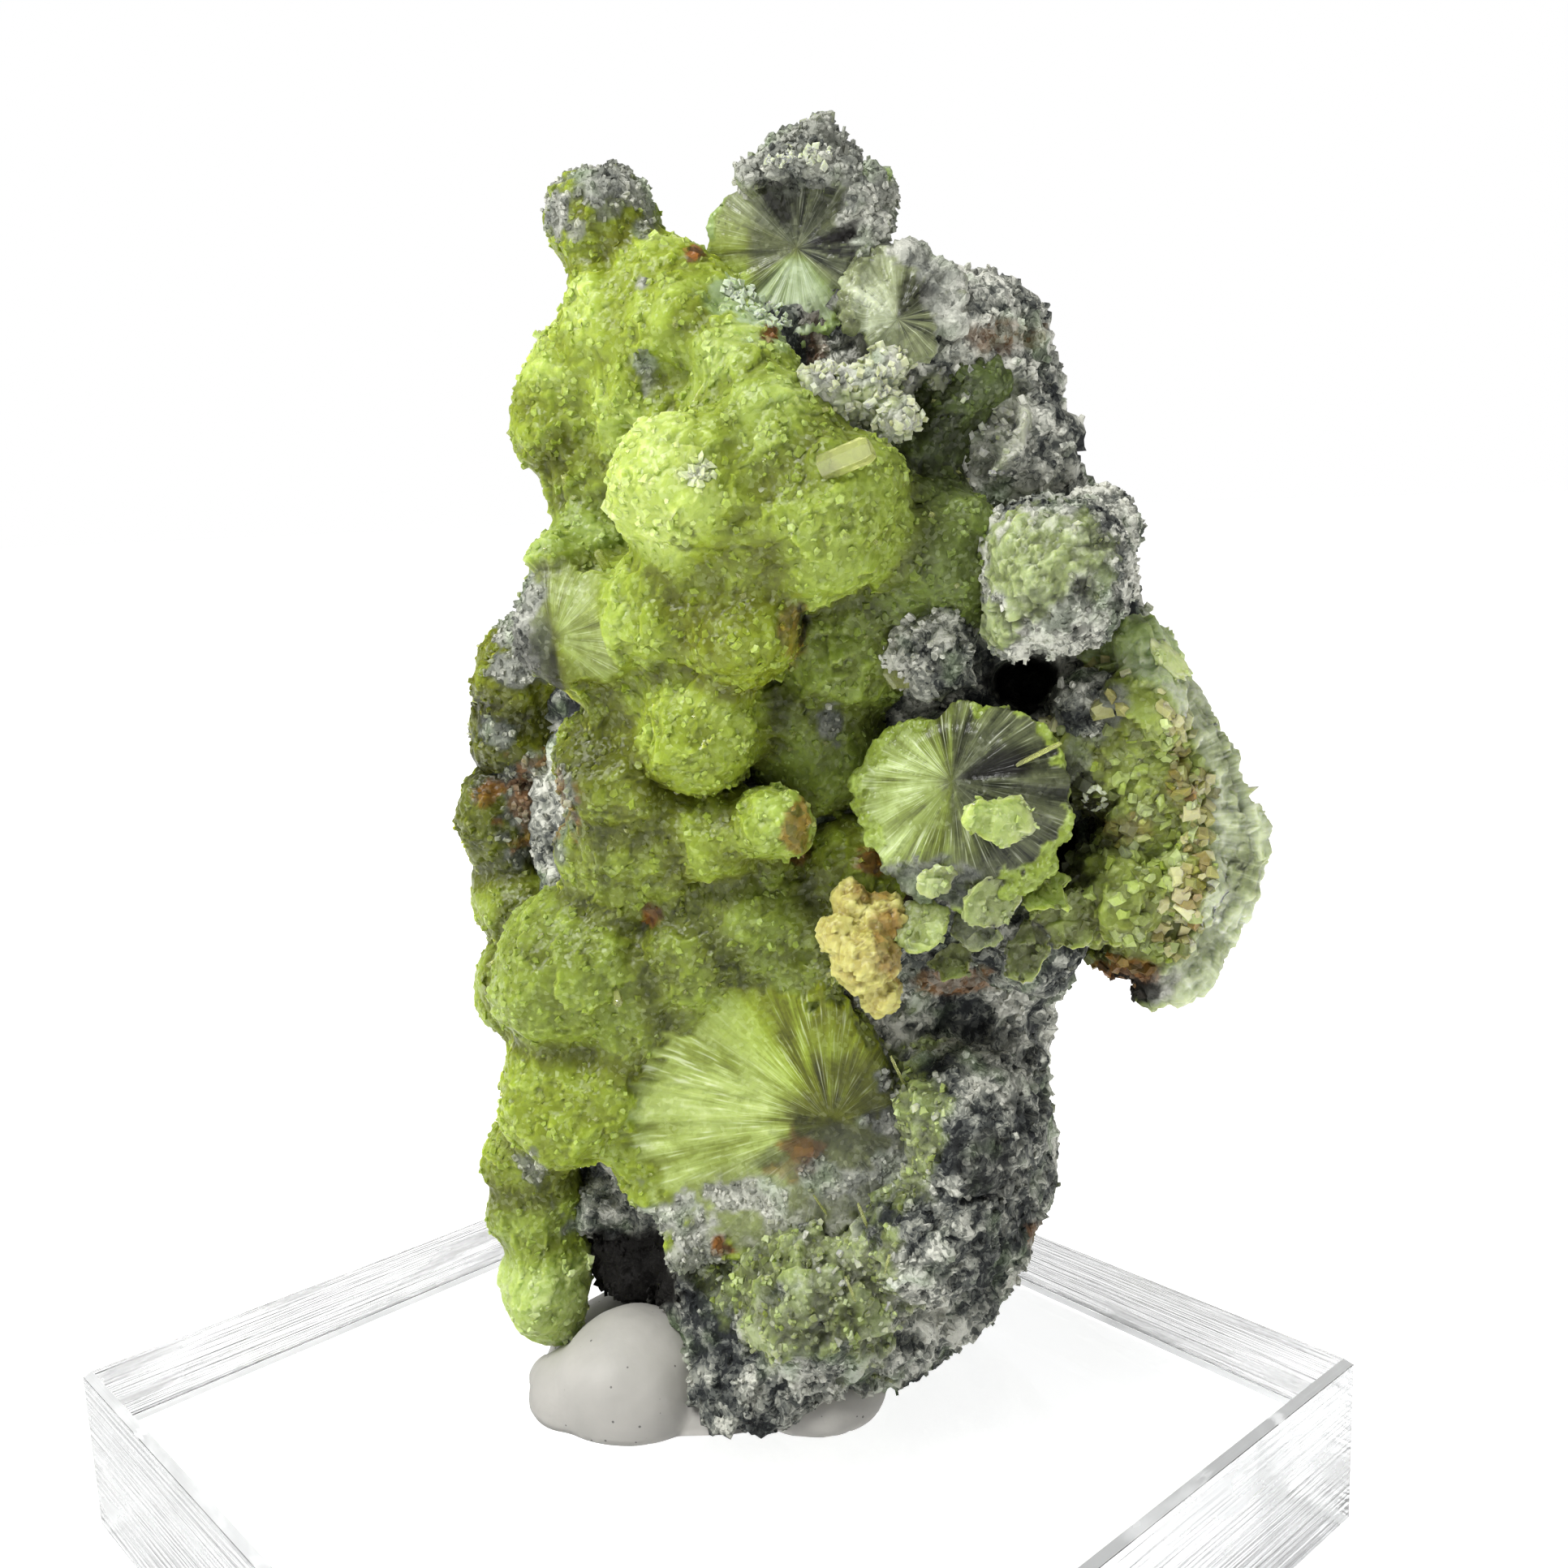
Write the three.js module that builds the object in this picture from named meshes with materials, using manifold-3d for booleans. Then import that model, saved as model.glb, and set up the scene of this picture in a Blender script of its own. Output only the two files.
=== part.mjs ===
// A wavellite specimen: green and grey balls of radiating crystals grown on a dark, granular rock,
// held upright by a lump of putty on a square of clear acrylic.
// Millimetres, +Z up. The origin is the middle of the acrylic square's underside.

import * as THREE from 'three';
import { mergeVertices } from 'three/addons/utils/BufferGeometryUtils.js';
import Module from 'manifold-3d';

const wasm = await Module();
wasm.setup();

// Driving dimensions.
const baseSide = 31.75; // a 1 1/4 inch square
const baseThickness = 6.35; // 1/4 inch
const baseBevel = 0.25;
const baseTurn = Math.PI / 4; // the specimen's display side faces a corner of the square
const gap = 0.3; // clearance between neighbouring pieces
const swell = 1.25; // moving corners by more than the gap moves the flat faces between them by the gap
const puttyGap = 0.02; // the putty is pressed flat onto the acrylic
const eye = new THREE.Vector3(5.9, -49.9, 36.2); // where the display side is looked at from

// Each lump is [x, z, front, radius, stretch]. x and z are where its middle is seen from the eye against
// the upright plane through the base's middle, front is how far it stands before that plane, and
// stretch multiplies its radius along x, depth and z.
const crustLumps = [
  // The small ball at the upper left, and the lobes below it.
  [-1.5, 44.5, 0.2, 1.9],
  [-1.2, 42.1, 1.3, 2.2],
  [0.8, 41.4, 1.4, 2.6],
  [-2.3, 40.5, 0.3, 2.0],
  [-0.2, 39.4, 0.8, 2.6],
  [-3.1, 38.5, 0.1, 1.5],
  [-2.1, 37.3, -0.2, 1.9],
  // The bright domes of the upper middle.
  [2.6, 40.0, 3.0, 2.2],
  [0.7, 36.2, 4.6, 2.9],
  [3.4, 37.8, 3.8, 2.7],
  [4.4, 35.6, 4.4, 3.2],
  [8.4, 34.6, 1.6, 2.6],
  [8.3, 37.4, 0.8, 1.8],
  // The knobs below them, and the dark recess at their right.
  [-2.3, 34.9, 1.0, 1.6],
  [-0.4, 32.9, 3.2, 2.2],
  [1.4, 33.2, 3.8, 1.8],
  [2.4, 31.9, 4.4, 1.8],
  [5.6, 31.4, 0.8, 2.6],
  [4.6, 28.4, 0.4, 2.4],
  // The column of domes in the middle.
  [0.7, 28.9, 3.2, 2.4],
  [-2.0, 28.3, 1.6, 2.2],
  [-1.5, 25.2, 1.6, 2.5],
  [1.4, 25.6, 2.8, 1.7],
  [3.1, 25.8, 4.0, 1.4],
  [2.6, 22.8, 1.4, 2.4],
  [5.6, 23.8, 1.4, 2.0],
  // The far left flank.
  [-4.6, 31.0, -2.0, 1.9],
  [-5.1, 28.8, -2.2, 1.8],
  [-5.8, 26.3, -2.4, 2.1],
  [-5.1, 23.4, -2.4, 1.8],
  // The large domes of the lower left, and the leg below them.
  [-3.5, 20.8, 1.0, 3.1],
  [-5.7, 20.2, -0.8, 1.7],
  [-4.1, 16.6, 1.0, 2.9],
  [-5.8, 14.4, 0.2, 1.8],
  [-5.5, 12.4, 0.2, 1.8],
  [-5.3, 9.9, 0.6, 1.8, [1, 1.2, 1.5]],
];

// The rock's outline level by level, from the top: [z, left, right, front, back], seen as the lumps are.
const rockLevels = [
  [43.2, 4.6, 9.4, 1.4, -1.6],
  [41.8, 1.6, 11.6, 2.2, -3.4],
  [39.6, -1.2, 12.6, 2.2, -5.0],
  [37.0, -1.8, 13.0, 1.8, -4.6],
  [34.0, -2.6, 14.6, 1.0, -6.4],
  [31.0, -4.2, 15.4, 0.6, -5.6],
  [28.0, -5.0, 15.4, 0.8, -7.4],
  [25.0, -5.2, 14.6, 1.2, -6.8],
  [22.0, -4.6, 13.0, 2.0, -6.2],
  [19.0, -4.6, 12.0, 1.4, -7.6],
  [16.0, -4.4, 12.1, 1.6, -6.6],
  [13.0, -3.6, 12.1, 2.2, -6.9],
  [10.4, -2.2, 11.4, 3.0, -4.8],
  [8.2, -1.3, 10.3, 3.9, -3.4],
  [6.4, -0.9, 7.6, 4.5, -1.5],
  [4.9, -0.7, 4.2, 4.9, 1.0],
  [3.6, -0.3, 1.9, 5.0, 3.2],
];
const rockSides = 20;
const rockSquareness = 3; // 2 is a round outline, more is squarer
const rockBackRough = 0.18;
const rockLevelRough = 0.032; // how far a corner leaves its level, as a share of its height

const rockLumps = [
  // The shoulder at the upper right.
  [6.8, 41.6, 0.8, 2.1],
  [9.4, 40.6, 0.6, 2.6],
  [11.0, 37.8, 0.4, 2.4],
  // The rock round the dark hole, and below the balls of the right side.
  [8.4, 31.2, 2.6, 1.6],
  [13.4, 29.2, 1.8, 1.4],
  [9.8, 26.8, 1.8, 2.6],
  [11.4, 21.8, 1.6, 2.0],
  // The bulge of the lower right, and the foot.
  [9.0, 15.4, 2.2, 2.8],
  [7.6, 11.6, 2.8, 2.9],
  [4.0, 8.8, 3.4, 2.7],
];

const knobLumps = [
  [12.4, 33.5, 3.4, 2.6],
  [10.9, 34.3, 2.8, 1.4],
  [11.1, 31.9, 3.6, 1.1],
  [13.7, 34.9, 1.8, 1.4],
];

const lobeLumps = [
  // The rind.
  [15.1, 30.8, 0.4, 1.9],
  [16.0, 28.4, 0.4, 2.6],
  [16.6, 25.0, 0.6, 2.7],
  [15.7, 22.3, 0.8, 2.7],
  [16.3, 20.4, 1.2, 1.5],
  // The druse inside it.
  [13.6, 27.6, 1.6, 1.8],
  [14.9, 29.1, 2.4, 1.5],
  [15.2, 26.4, 1.6, 2.0],
  [16.6, 23.4, 2.8, 1.1],
  [14.2, 23.0, 2.4, 1.8],
];

// The raised rim round the lobe's right side: beads along an arc, its angles in radians from level.
const rim = { bead: 1.0, beads: 6, middle: [14.8, 25.2], reach: [3.5, 5.2], front: 2.0 };
const rimFrom = -1.15;
const rimTo = 1.1;

const chipLumps = [
  [10.7, 25.7, 6.2, 1.3, [1, 0.5, 0.6]],
  [10.5, 24.0, 4.8, 1.5],
  [10.4, 22.4, 5.0, 1.3],
  [8.6, 22.6, 4.4, 1.6],
  [12.1, 22.6, 3.6, 1.5],
];

const yellowLumps = [
  [6.0, 21.1, 4.8, 1.2],
  [6.5, 19.8, 4.9, 0.75],
  [5.1, 21.9, 4.7, 0.7],
  [6.6, 22.3, 4.1, 1.0],
  [5.6, 23.0, 4.2, 0.7],
];

const paleLumps = [
  [6.4, 39.4, 3.9, 0.9],
  [7.3, 38.6, 3.9, 0.9],
  [5.2, 39.7, 3.7, 0.8],
  [7.1, 40.0, 3.4, 0.8],
];

const puttyLumps = [
  [0.2, 6.9, -1.0, 5.9, [1, 0.9, 0.5]],
  [-3.0, 6.6, 2.4, 3.1, [1, 0.9, 1]],
  [3.3, 5.0, 1.4, 3.1, [1, 1, 0.6]],
  [-4.6, 6.0, 1.2, 1.9, [1, 1, 0.7]],
];

// Balls broken open: the face shows fibres that run out from the middle.
const topBall = { at: [4.3, 44.0, 2.4], radius: 2.85, facing: [-0.3, 0.95, -0.1], spokes: 20 };
const leftBall = { at: [-3.4, 32.5, 1.4], radius: 2.2, facing: [-0.25, 0.95, 0.1], spokes: 16 };
const middleBall = { at: [9.3, 26.7, 5.0], radius: 3.2, facing: [-0.2, 0.95, 0.2], spokes: 20 };
const fanBall = { at: [2.8, 15.2, 3.5], radius: 6.0, facing: [-0.12, 0.97, 0.05], spokes: 26 };
const topCapLumps = [
  [5.2, 46.0, 1.8, 1.75],
  [6.3, 44.5, 1.6, 1.4],
];

// Single crystals, leaning from upright by an angle.
const topSpike = { at: [5.3, 47.4, 2.0], radius: 0.35, length: 1.6, lean: 0 };
const prism = { at: [6.1, 37.4, 6.3], radius: 0.42, length: 1.7, lean: -1.15 };
const crystalSides = 6;

// How far corners are pushed about, as a share of the radius.
const domeRough = 0.04;
const crumbRough = 0.1;
const rockRough = 0.07;
const puttyRough = 0.012;
const rimRough = 0.05;

// A split ball's rings of corners: shares of the radius on its face, angles from its axis on its back.
const faceRings = [0.45, 1];
const domeRings = [1.9, 2.35, 2.8];
const dishShare = 0.1; // how deep the face is hollowed
const pleatShare = 0.05;

function seen([x, z, front]) {
  return new THREE.Vector3(x, 0, z).lerp(eye, front / -eye.y);
}

// A radius seen against the mid-plane shrinks as the lump comes nearer to the eye.
function trueRadius(front, radius) {
  return radius * (1 + front / eye.y);
}

// A fixed scatter from -1 to 1 for a place.
function scatter(x, y, z) {
  const s = Math.sin(x * 127.1 + y * 311.7 + z * 74.7) * 43758.5453;
  return 2 * (s - Math.floor(s)) - 1;
}

function merged(shape) {
  shape.deleteAttribute('normal');
  shape.deleteAttribute('uv');
  return mergeVertices(shape, 1e-4);
}

function shapeOf(points, faces) {
  const shape = new THREE.BufferGeometry().setFromPoints(points);
  shape.setIndex(faces);
  return shape;
}

// A ball of radius 1 whose number of flat faces suits the radius it will have.
function ballFor(radius) {
  if (radius < 1.1) return new THREE.IcosahedronGeometry(1, 0);
  if (radius < 1.75) return new THREE.DodecahedronGeometry(1, 0);
  return new THREE.IcosahedronGeometry(1, radius < 3.05 ? 1 : 2);
}

// A ball with flat crystal faces, whose corners are pushed in or out.
function lump([x, z, front, radius, stretch = [1, 1, 1]], rough) {
  const middle = seen([x, z, front]);
  const size = trueRadius(front, radius);
  const shape = merged(ballFor(radius));
  const place = shape.attributes.position;
  for (let i = 0; i < place.count; i++) {
    const out = new THREE.Vector3().fromBufferAttribute(place, i);
    const reach = size * (1 + rough * scatter(out.x + x, out.y + front, out.z + z));
    out.multiply(new THREE.Vector3(...stretch)).multiplyScalar(reach).add(middle);
    place.setXYZ(i, out.x, out.y, out.z);
  }
  return shape;
}

function lumps(list, rough) {
  return list.map((row) => lump(row, rough));
}

// The faces between rings of corners that share one count, the first and the last ring closed by a point.
// The rings run from the outer side's top to its bottom, anticlockwise as seen from above.
function ringFaces(rings, count) {
  const corner = (ring, j) => 1 + ring * count + (j % count);
  const last = 1 + rings * count;
  const faces = [];
  for (let j = 0; j < count; j++) {
    faces.push(0, corner(0, j), corner(0, j + 1));
    for (let ring = 0; ring < rings - 1; ring++) {
      faces.push(corner(ring, j), corner(ring + 1, j), corner(ring + 1, j + 1));
      faces.push(corner(ring, j), corner(ring + 1, j + 1), corner(ring, j + 1));
    }
    faces.push(corner(rings - 1, j), last, corner(rings - 1, j + 1));
  }
  return faces;
}

// A half ball. Its face is dished and pleated along the fibres, and its back is a faceted dome.
function splitBall({ at, radius, facing, spokes }) {
  const size = trueRadius(at[2], radius);
  const dish = dishShare * size;
  const angle = (j) => (2 * Math.PI * j) / spokes;
  const points = [new THREE.Vector3(0, 0, -dish)];
  for (const ring of faceRings)
    for (let j = 0; j < spokes; j++) {
      const lift = pleatShare * size * scatter(j, ring, radius) - dish * (1 - ring * ring);
      const reach = size * ring * (1 + rimRough * ring * scatter(j, 7, radius));
      points.push(new THREE.Vector3(reach * Math.cos(angle(j)), reach * Math.sin(angle(j)), lift));
    }
  for (const polar of domeRings)
    for (let j = 0; j < spokes; j++) {
      const reach = size * (1 + domeRough * scatter(j, polar, radius));
      points.push(
        new THREE.Vector3(
          reach * Math.sin(polar) * Math.cos(angle(j)),
          reach * Math.sin(polar) * Math.sin(angle(j)),
          reach * Math.cos(polar),
        ),
      );
    }
  points.push(new THREE.Vector3(0, 0, -size));
  const up = new THREE.Vector3(0, 0, 1);
  const outward = new THREE.Vector3(facing[0], -facing[1], facing[2]).normalize();
  const turn = new THREE.Quaternion().setFromUnitVectors(up, outward);
  const middle = seen(at);
  return shapeOf(
    points.map((p) => p.applyQuaternion(turn).add(middle)),
    ringFaces(faceRings.length + domeRings.length, spokes),
  );
}

// A crystal with flat sides and a pointed end.
function crystal({ at, radius, length, lean }) {
  const outline = [
    new THREE.Vector2(0, -length / 2),
    new THREE.Vector2(radius, -length / 2),
    new THREE.Vector2(radius, length / 4),
    new THREE.Vector2(0, length / 2),
  ];
  const shape = new THREE.LatheGeometry(outline, crystalSides);
  shape.rotateX(Math.PI / 2);
  shape.rotateY(-lean);
  const middle = seen(at);
  shape.translate(middle.x, middle.y, middle.z);
  return merged(shape);
}

// A block of rock through its levels, from the top down, squarish in plan and rough at its back.
function rockBlock() {
  const square = (value) => Math.sign(value) * Math.abs(value) ** (2 / rockSquareness);
  const points = [];
  for (const [z, left, right, front, back] of rockLevels)
    for (let j = 0; j < rockSides; j++) {
      const angle = (2 * Math.PI * j) / rockSides;
      const deep = angle < Math.PI ? rockBackRough : rockRough;
      const toss = scatter(z, j, right);
      const across = (square(Math.cos(angle)) * (1 + rockRough * toss) * (right - left)) / 2;
      const behind = (square(Math.sin(angle)) * (1 + deep * toss) * (front - back)) / 2;
      const height = z * (1 + rockLevelRough * scatter(j, z, left));
      points.push(seen([(left + right) / 2 + across, height, (front + back) / 2 - behind]));
    }
  const middleOf = (ring) =>
    ring.reduce((sum, p) => sum.add(p), new THREE.Vector3()).divideScalar(ring.length);
  const ends = [middleOf(points.slice(0, rockSides)), middleOf(points.slice(-rockSides))];
  return shapeOf([ends[0], ...points, ends[1]], ringFaces(rockLevels.length, rockSides));
}

// A closed shape as a solid, with every corner moved outwards by a clearance.
function solidOf(shape, clearance) {
  const swollen = shape.clone();
  swollen.computeVertexNormals();
  const { position, normal } = swollen.attributes;
  const places = new Float32Array(position.array.length);
  for (let i = 0; i < places.length; i++) places[i] = position.array[i] + normal.array[i] * clearance;
  return new wasm.Manifold(
    new wasm.Mesh({
      numProp: 3,
      vertProperties: places,
      triVerts: new Uint32Array(swollen.index.array),
    }),
  );
}

function join(shapes, clearance) {
  return shapes.map((shape) => solidOf(shape, clearance)).reduce((sum, next) => sum.add(next));
}

// Everything below a level, with room to spare on every side, to cut feet off flat.
function slabBelow(level) {
  const reach = 4 * baseSide;
  return solidOf(merged(new THREE.BoxGeometry(reach, reach, reach).translate(0, 0, level - reach / 2)), 0);
}

const rimLumps = Array.from({ length: rim.beads }, (_, i) => {
  const angle = THREE.MathUtils.lerp(rimFrom, rimTo, i / (rim.beads - 1));
  return [
    rim.middle[0] + rim.reach[0] * Math.cos(angle),
    rim.middle[1] + rim.reach[1] * Math.sin(angle),
    rim.front,
    rim.bead,
  ];
});

// The shapes of each piece, the pieces in the order in which they keep their form: each one is cut
// away where an earlier one, swollen by the clearance, takes the room.
const pieces = {
  pale_crystals: lumps(paleLumps, crumbRough),
  yellow_druse: lumps(yellowLumps, crumbRough),
  wavellite_top_ball: [splitBall(topBall), ...lumps(topCapLumps, domeRough), crystal(topSpike)],
  wavellite_knob: lumps(knobLumps, domeRough),
  wavellite_lobe: lumps([...lobeLumps, ...rimLumps], domeRough),
  wavellite_middle_ball: [splitBall(middleBall), ...lumps(chipLumps, crumbRough)],
  matrix_rock: [rockBlock(), ...lumps(rockLumps, rockRough)],
  wavellite_crust: [
    ...lumps(crustLumps, domeRough),
    splitBall(leftBall),
    splitBall(fanBall),
    crystal(prism),
  ],
  mounting_putty: lumps(puttyLumps, puttyRough),
};

// A piece as it is left between the earlier ones, without the loose crumbs that a cut can leave.
function cutPiece(name) {
  const names = Object.keys(pieces);
  const earlier = names.slice(0, names.indexOf(name));
  const floor = slabBelow(baseThickness + (name === 'mounting_putty' ? puttyGap : gap));
  const left = earlier
    .map((other) => join(pieces[other], gap * swell))
    .reduce((solid, room) => solid.subtract(room), join(pieces[name], 0))
    .subtract(floor);
  return left.decompose().reduce((a, b) => (a.volume() > b.volume() ? a : b));
}

const finishes = {
  acrylic_base: new THREE.MeshStandardMaterial({
    color: 0xeef2f4,
    roughness: 0.05,
    transparent: true,
    opacity: 0.35,
  }),
  mounting_putty: new THREE.MeshStandardMaterial({ color: 0xb4b4b2, roughness: 0.75 }),
  matrix_rock: new THREE.MeshStandardMaterial({ color: 0x555a5a, roughness: 0.9 }),
  wavellite_crust: new THREE.MeshStandardMaterial({ color: 0x9db23f, roughness: 0.5 }),
  wavellite_top_ball: new THREE.MeshStandardMaterial({ color: 0x7f8a72, roughness: 0.5 }),
  wavellite_middle_ball: new THREE.MeshStandardMaterial({ color: 0x8c9a63, roughness: 0.5 }),
  wavellite_knob: new THREE.MeshStandardMaterial({ color: 0x767c6e, roughness: 0.7 }),
  wavellite_lobe: new THREE.MeshStandardMaterial({ color: 0x8a9a50, roughness: 0.5 }),
  yellow_druse: new THREE.MeshStandardMaterial({ color: 0xd6cd86, roughness: 0.5 }),
  pale_crystals: new THREE.MeshStandardMaterial({ color: 0xb8bda6, roughness: 0.4 }),
};

function meshOf(name) {
  const { vertProperties, triVerts, numProp, numVert } = cutPiece(name).getMesh();
  const places = new Float32Array(numVert * 3);
  for (let i = 0; i < numVert; i++) places.set(vertProperties.subarray(i * numProp, i * numProp + 3), i * 3);
  const shape = new THREE.BufferGeometry();
  shape.setAttribute('position', new THREE.BufferAttribute(places, 3));
  shape.setIndex(new THREE.BufferAttribute(triVerts, 1));
  const mesh = new THREE.Mesh(shape, finishes[name]);
  mesh.name = name;
  return mesh;
}

// A square of clear sheet with a small bevel on every edge.
function acrylicBase() {
  const half = baseSide / 2 - baseBevel;
  const square = new THREE.Shape([
    new THREE.Vector2(-half, -half),
    new THREE.Vector2(half, -half),
    new THREE.Vector2(half, half),
    new THREE.Vector2(-half, half),
  ]);
  const shape = new THREE.ExtrudeGeometry(square, {
    depth: baseThickness - 2 * baseBevel,
    bevelThickness: baseBevel,
    bevelSize: baseBevel,
    bevelSegments: 1,
  });
  shape.translate(0, 0, baseBevel);
  const mesh = new THREE.Mesh(shape, finishes.acrylic_base);
  mesh.name = 'acrylic_base';
  return mesh;
}

const specimen = new THREE.Group();
specimen.rotation.z = baseTurn;
for (const name of Object.keys(pieces)) specimen.add(meshOf(name));

const part = new THREE.Group();
part.add(acrylicBase(), specimen);

export default part;
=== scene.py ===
import math

import bpy
import numpy as np
from mathutils import Matrix, Vector
from mathutils.bvhtree import BVHTree


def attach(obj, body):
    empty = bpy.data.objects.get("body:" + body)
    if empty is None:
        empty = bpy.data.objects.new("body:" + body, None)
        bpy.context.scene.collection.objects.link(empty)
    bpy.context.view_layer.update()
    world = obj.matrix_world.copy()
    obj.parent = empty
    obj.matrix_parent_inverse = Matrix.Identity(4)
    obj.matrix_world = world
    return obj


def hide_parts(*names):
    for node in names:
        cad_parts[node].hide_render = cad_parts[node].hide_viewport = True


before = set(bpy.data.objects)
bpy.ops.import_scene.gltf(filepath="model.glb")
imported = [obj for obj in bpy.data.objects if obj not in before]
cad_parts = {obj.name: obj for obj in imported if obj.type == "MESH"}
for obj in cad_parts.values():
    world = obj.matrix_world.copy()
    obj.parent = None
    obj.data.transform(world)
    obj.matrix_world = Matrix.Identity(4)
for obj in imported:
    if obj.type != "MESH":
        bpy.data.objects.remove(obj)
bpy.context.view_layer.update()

print("frame loaded")

# Shapes are worked out in millimetres: x runs to the right and z up as the display side is seen, y runs
# away from it, and the origin is the middle of the base's underside. newPiece turns them into the frame.
display = {
    "turn": 45.0,  # degrees from here to the sides of the base
    "eye": (5.93, -49.90, 36.15),  # where the display side is seen from
    "forward": (-0.0477, 0.9826, -0.1796),
    "roll": -2.1,  # degrees
    "lens": 35.68,
}
eye = np.array(display["eye"])
baseTop = 6.35
tableSize = 64  # chances along each side of the table, after which the noise repeats
cloudShift, grainShift = 7.31, 11.7  # how many cells each salt moves the noise along
dice = np.random.default_rng(4117)
chances = dice.random((tableSize, tableSize, tableSize, 4))


def seen(x, z, front):
    # a place seen from the eye against the upright middle plane, brought forward by front
    x, z, front = (np.asarray(value, float) for value in (x, z, front))
    flat = np.stack(np.broadcast_arrays(x, 0.0, z), -1)
    return flat + (eye - flat) * (front / -eye[1])[..., None]


def unseen(points):
    # where the eye sees points against the middle plane, the reverse of seen
    share = eye[1] / (eye[1] - points[:, 1])
    return eye[0] + (points[:, 0] - eye[0]) * share, eye[2] + (points[:, 2] - eye[2]) * share


def trueRadius(front, radius):
    # a radius seen against the middle plane shrinks as the lump comes nearer to the eye
    return radius * (1 + np.asarray(front) / eye[1])


def unit(vectors):
    # vectors divided by their own lengths
    vectors = np.asarray(vectors, float)
    return vectors / np.maximum(np.linalg.norm(vectors, axis=-1, keepdims=True), 1e-12)


def soft(values, low, high):
    # 0 below low, 1 above high and a smooth step between them
    share = np.clip((values - low) / (high - low), 0, 1)
    return share * share * (3 - 2 * share)


def cloud(points, size, salt=0):
    # smooth noise from -1 to 1: chances at the corners of a lattice, blended smoothly across each cell
    place = points / size + salt * cloudShift
    cell = np.floor(place).astype(int)
    share = place - cell
    share = share * share * (3 - 2 * share)
    total = np.zeros(len(points))
    for corner in np.ndindex(2, 2, 2):
        at = (cell + corner) % tableSize
        weight = np.prod(np.where(corner, share, 1 - share), axis=1)
        total += weight * chances[at[:, 0], at[:, 1], at[:, 2], 3]
    return 2 * total - 1


def grains(points, size, salt=0):
    # cell noise: each point's offset from the nearest of the scattered sites, and four chances that
    # belong to its site
    place = points / size + salt * grainShift
    cell = np.floor(place).astype(int)
    best = np.full(len(points), np.inf)
    offset = np.zeros_like(place)
    own = np.zeros((len(points), 4))
    for step in np.ndindex(3, 3, 3):
        near = cell + np.array(step) - 1
        key = near % tableSize
        site = chances[key[:, 0], key[:, 1], key[:, 2]]
        away = place - near - 0.15 - 0.7 * site[:, :3]  # a site keeps 0.15 of the cell from its walls
        reach = (away ** 2).sum(1)
        closer = reach < best
        best = np.where(closer, reach, best)
        offset[closer] = away[closer]
        own[closer] = site[closer]
    return offset * size, own


def plates(points, size, salt=0, slope=0.35, step=0.12):
    # flat crystal faces: inside each cell the height is a plane with its own tilt and level
    offset, own = grains(points, size, salt)
    tilt = 2 * own[:, [1, 2, 0]] - 1
    return (offset * tilt).sum(1) * slope + (own[:, 3] - 0.5) * step * size


def wrapped(rings, columns):
    # triangles between closed rings of points, from the outer side's top down, a point at each end
    j = np.arange(columns)
    k = (j + 1) % columns
    top = np.stack([0 * j, 1 + j, 1 + k], 1)
    start = 1 + columns * np.arange(rings - 1)[:, None]
    a, b, c, d = start + j, start + columns + j, start + columns + k, start + k
    bands = np.stack([a, b, c, a, c, d], -1).reshape(-1, 3)
    low = 1 + columns * (rings - 1)
    end = 1 + columns * rings
    return np.concatenate([top, bands, np.stack([low + j, 0 * j + end, low + k], 1)])


def copies(outline, triangles, count):
    # the triangles of a shape repeated, for points that stand in one row after the other
    steps = np.arange(count)[:, None, None] * len(outline)
    return (triangles[None] + steps).reshape(-1, 3)


def balls(middles, radii, rings=11, columns=18):
    # closed balls: a point lies at the polar angle of its ring and the azimuth of its column
    polar = np.linspace(0, np.pi, rings + 2)[1:-1, None]
    azimuth = np.arange(columns) * 2 * np.pi / columns
    ring = [np.sin(polar) * np.cos(azimuth), np.sin(polar) * np.sin(azimuth), np.cos(polar) + 0 * azimuth]
    outline = np.concatenate([[[0, 0, 1]], np.stack(ring, -1).reshape(-1, 3), [[0, 0, -1]]])
    points = middles[:, None] + outline * np.reshape(radii, (len(middles), 1, -1))
    return points.reshape(-1, 3), copies(outline, wrapped(rings, columns), len(middles))


def joined(shells):
    # several shells as one: the triangles of each count on from the points of those before it
    starts = np.cumsum([0] + [len(points) for points, _ in shells[:-1]])
    return (np.concatenate([points for points, _ in shells]),
            np.concatenate([triangles + start for (_, triangles), start in zip(shells, starts)]))


def bareMesh(name, points, triangles):
    # a mesh of triangles, without a material
    mesh = bpy.data.meshes.new(name)
    mesh.vertices.add(len(points))
    mesh.vertices.foreach_set("co", np.ascontiguousarray(points, np.float32).ravel())
    mesh.loops.add(3 * len(triangles))
    mesh.loops.foreach_set("vertex_index", np.ascontiguousarray(triangles, np.int32).ravel())
    mesh.polygons.add(len(triangles))
    mesh.polygons.foreach_set("loop_start", np.arange(len(triangles), dtype=np.int32) * 3)
    mesh.update(calc_edges=True)
    return mesh


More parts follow.
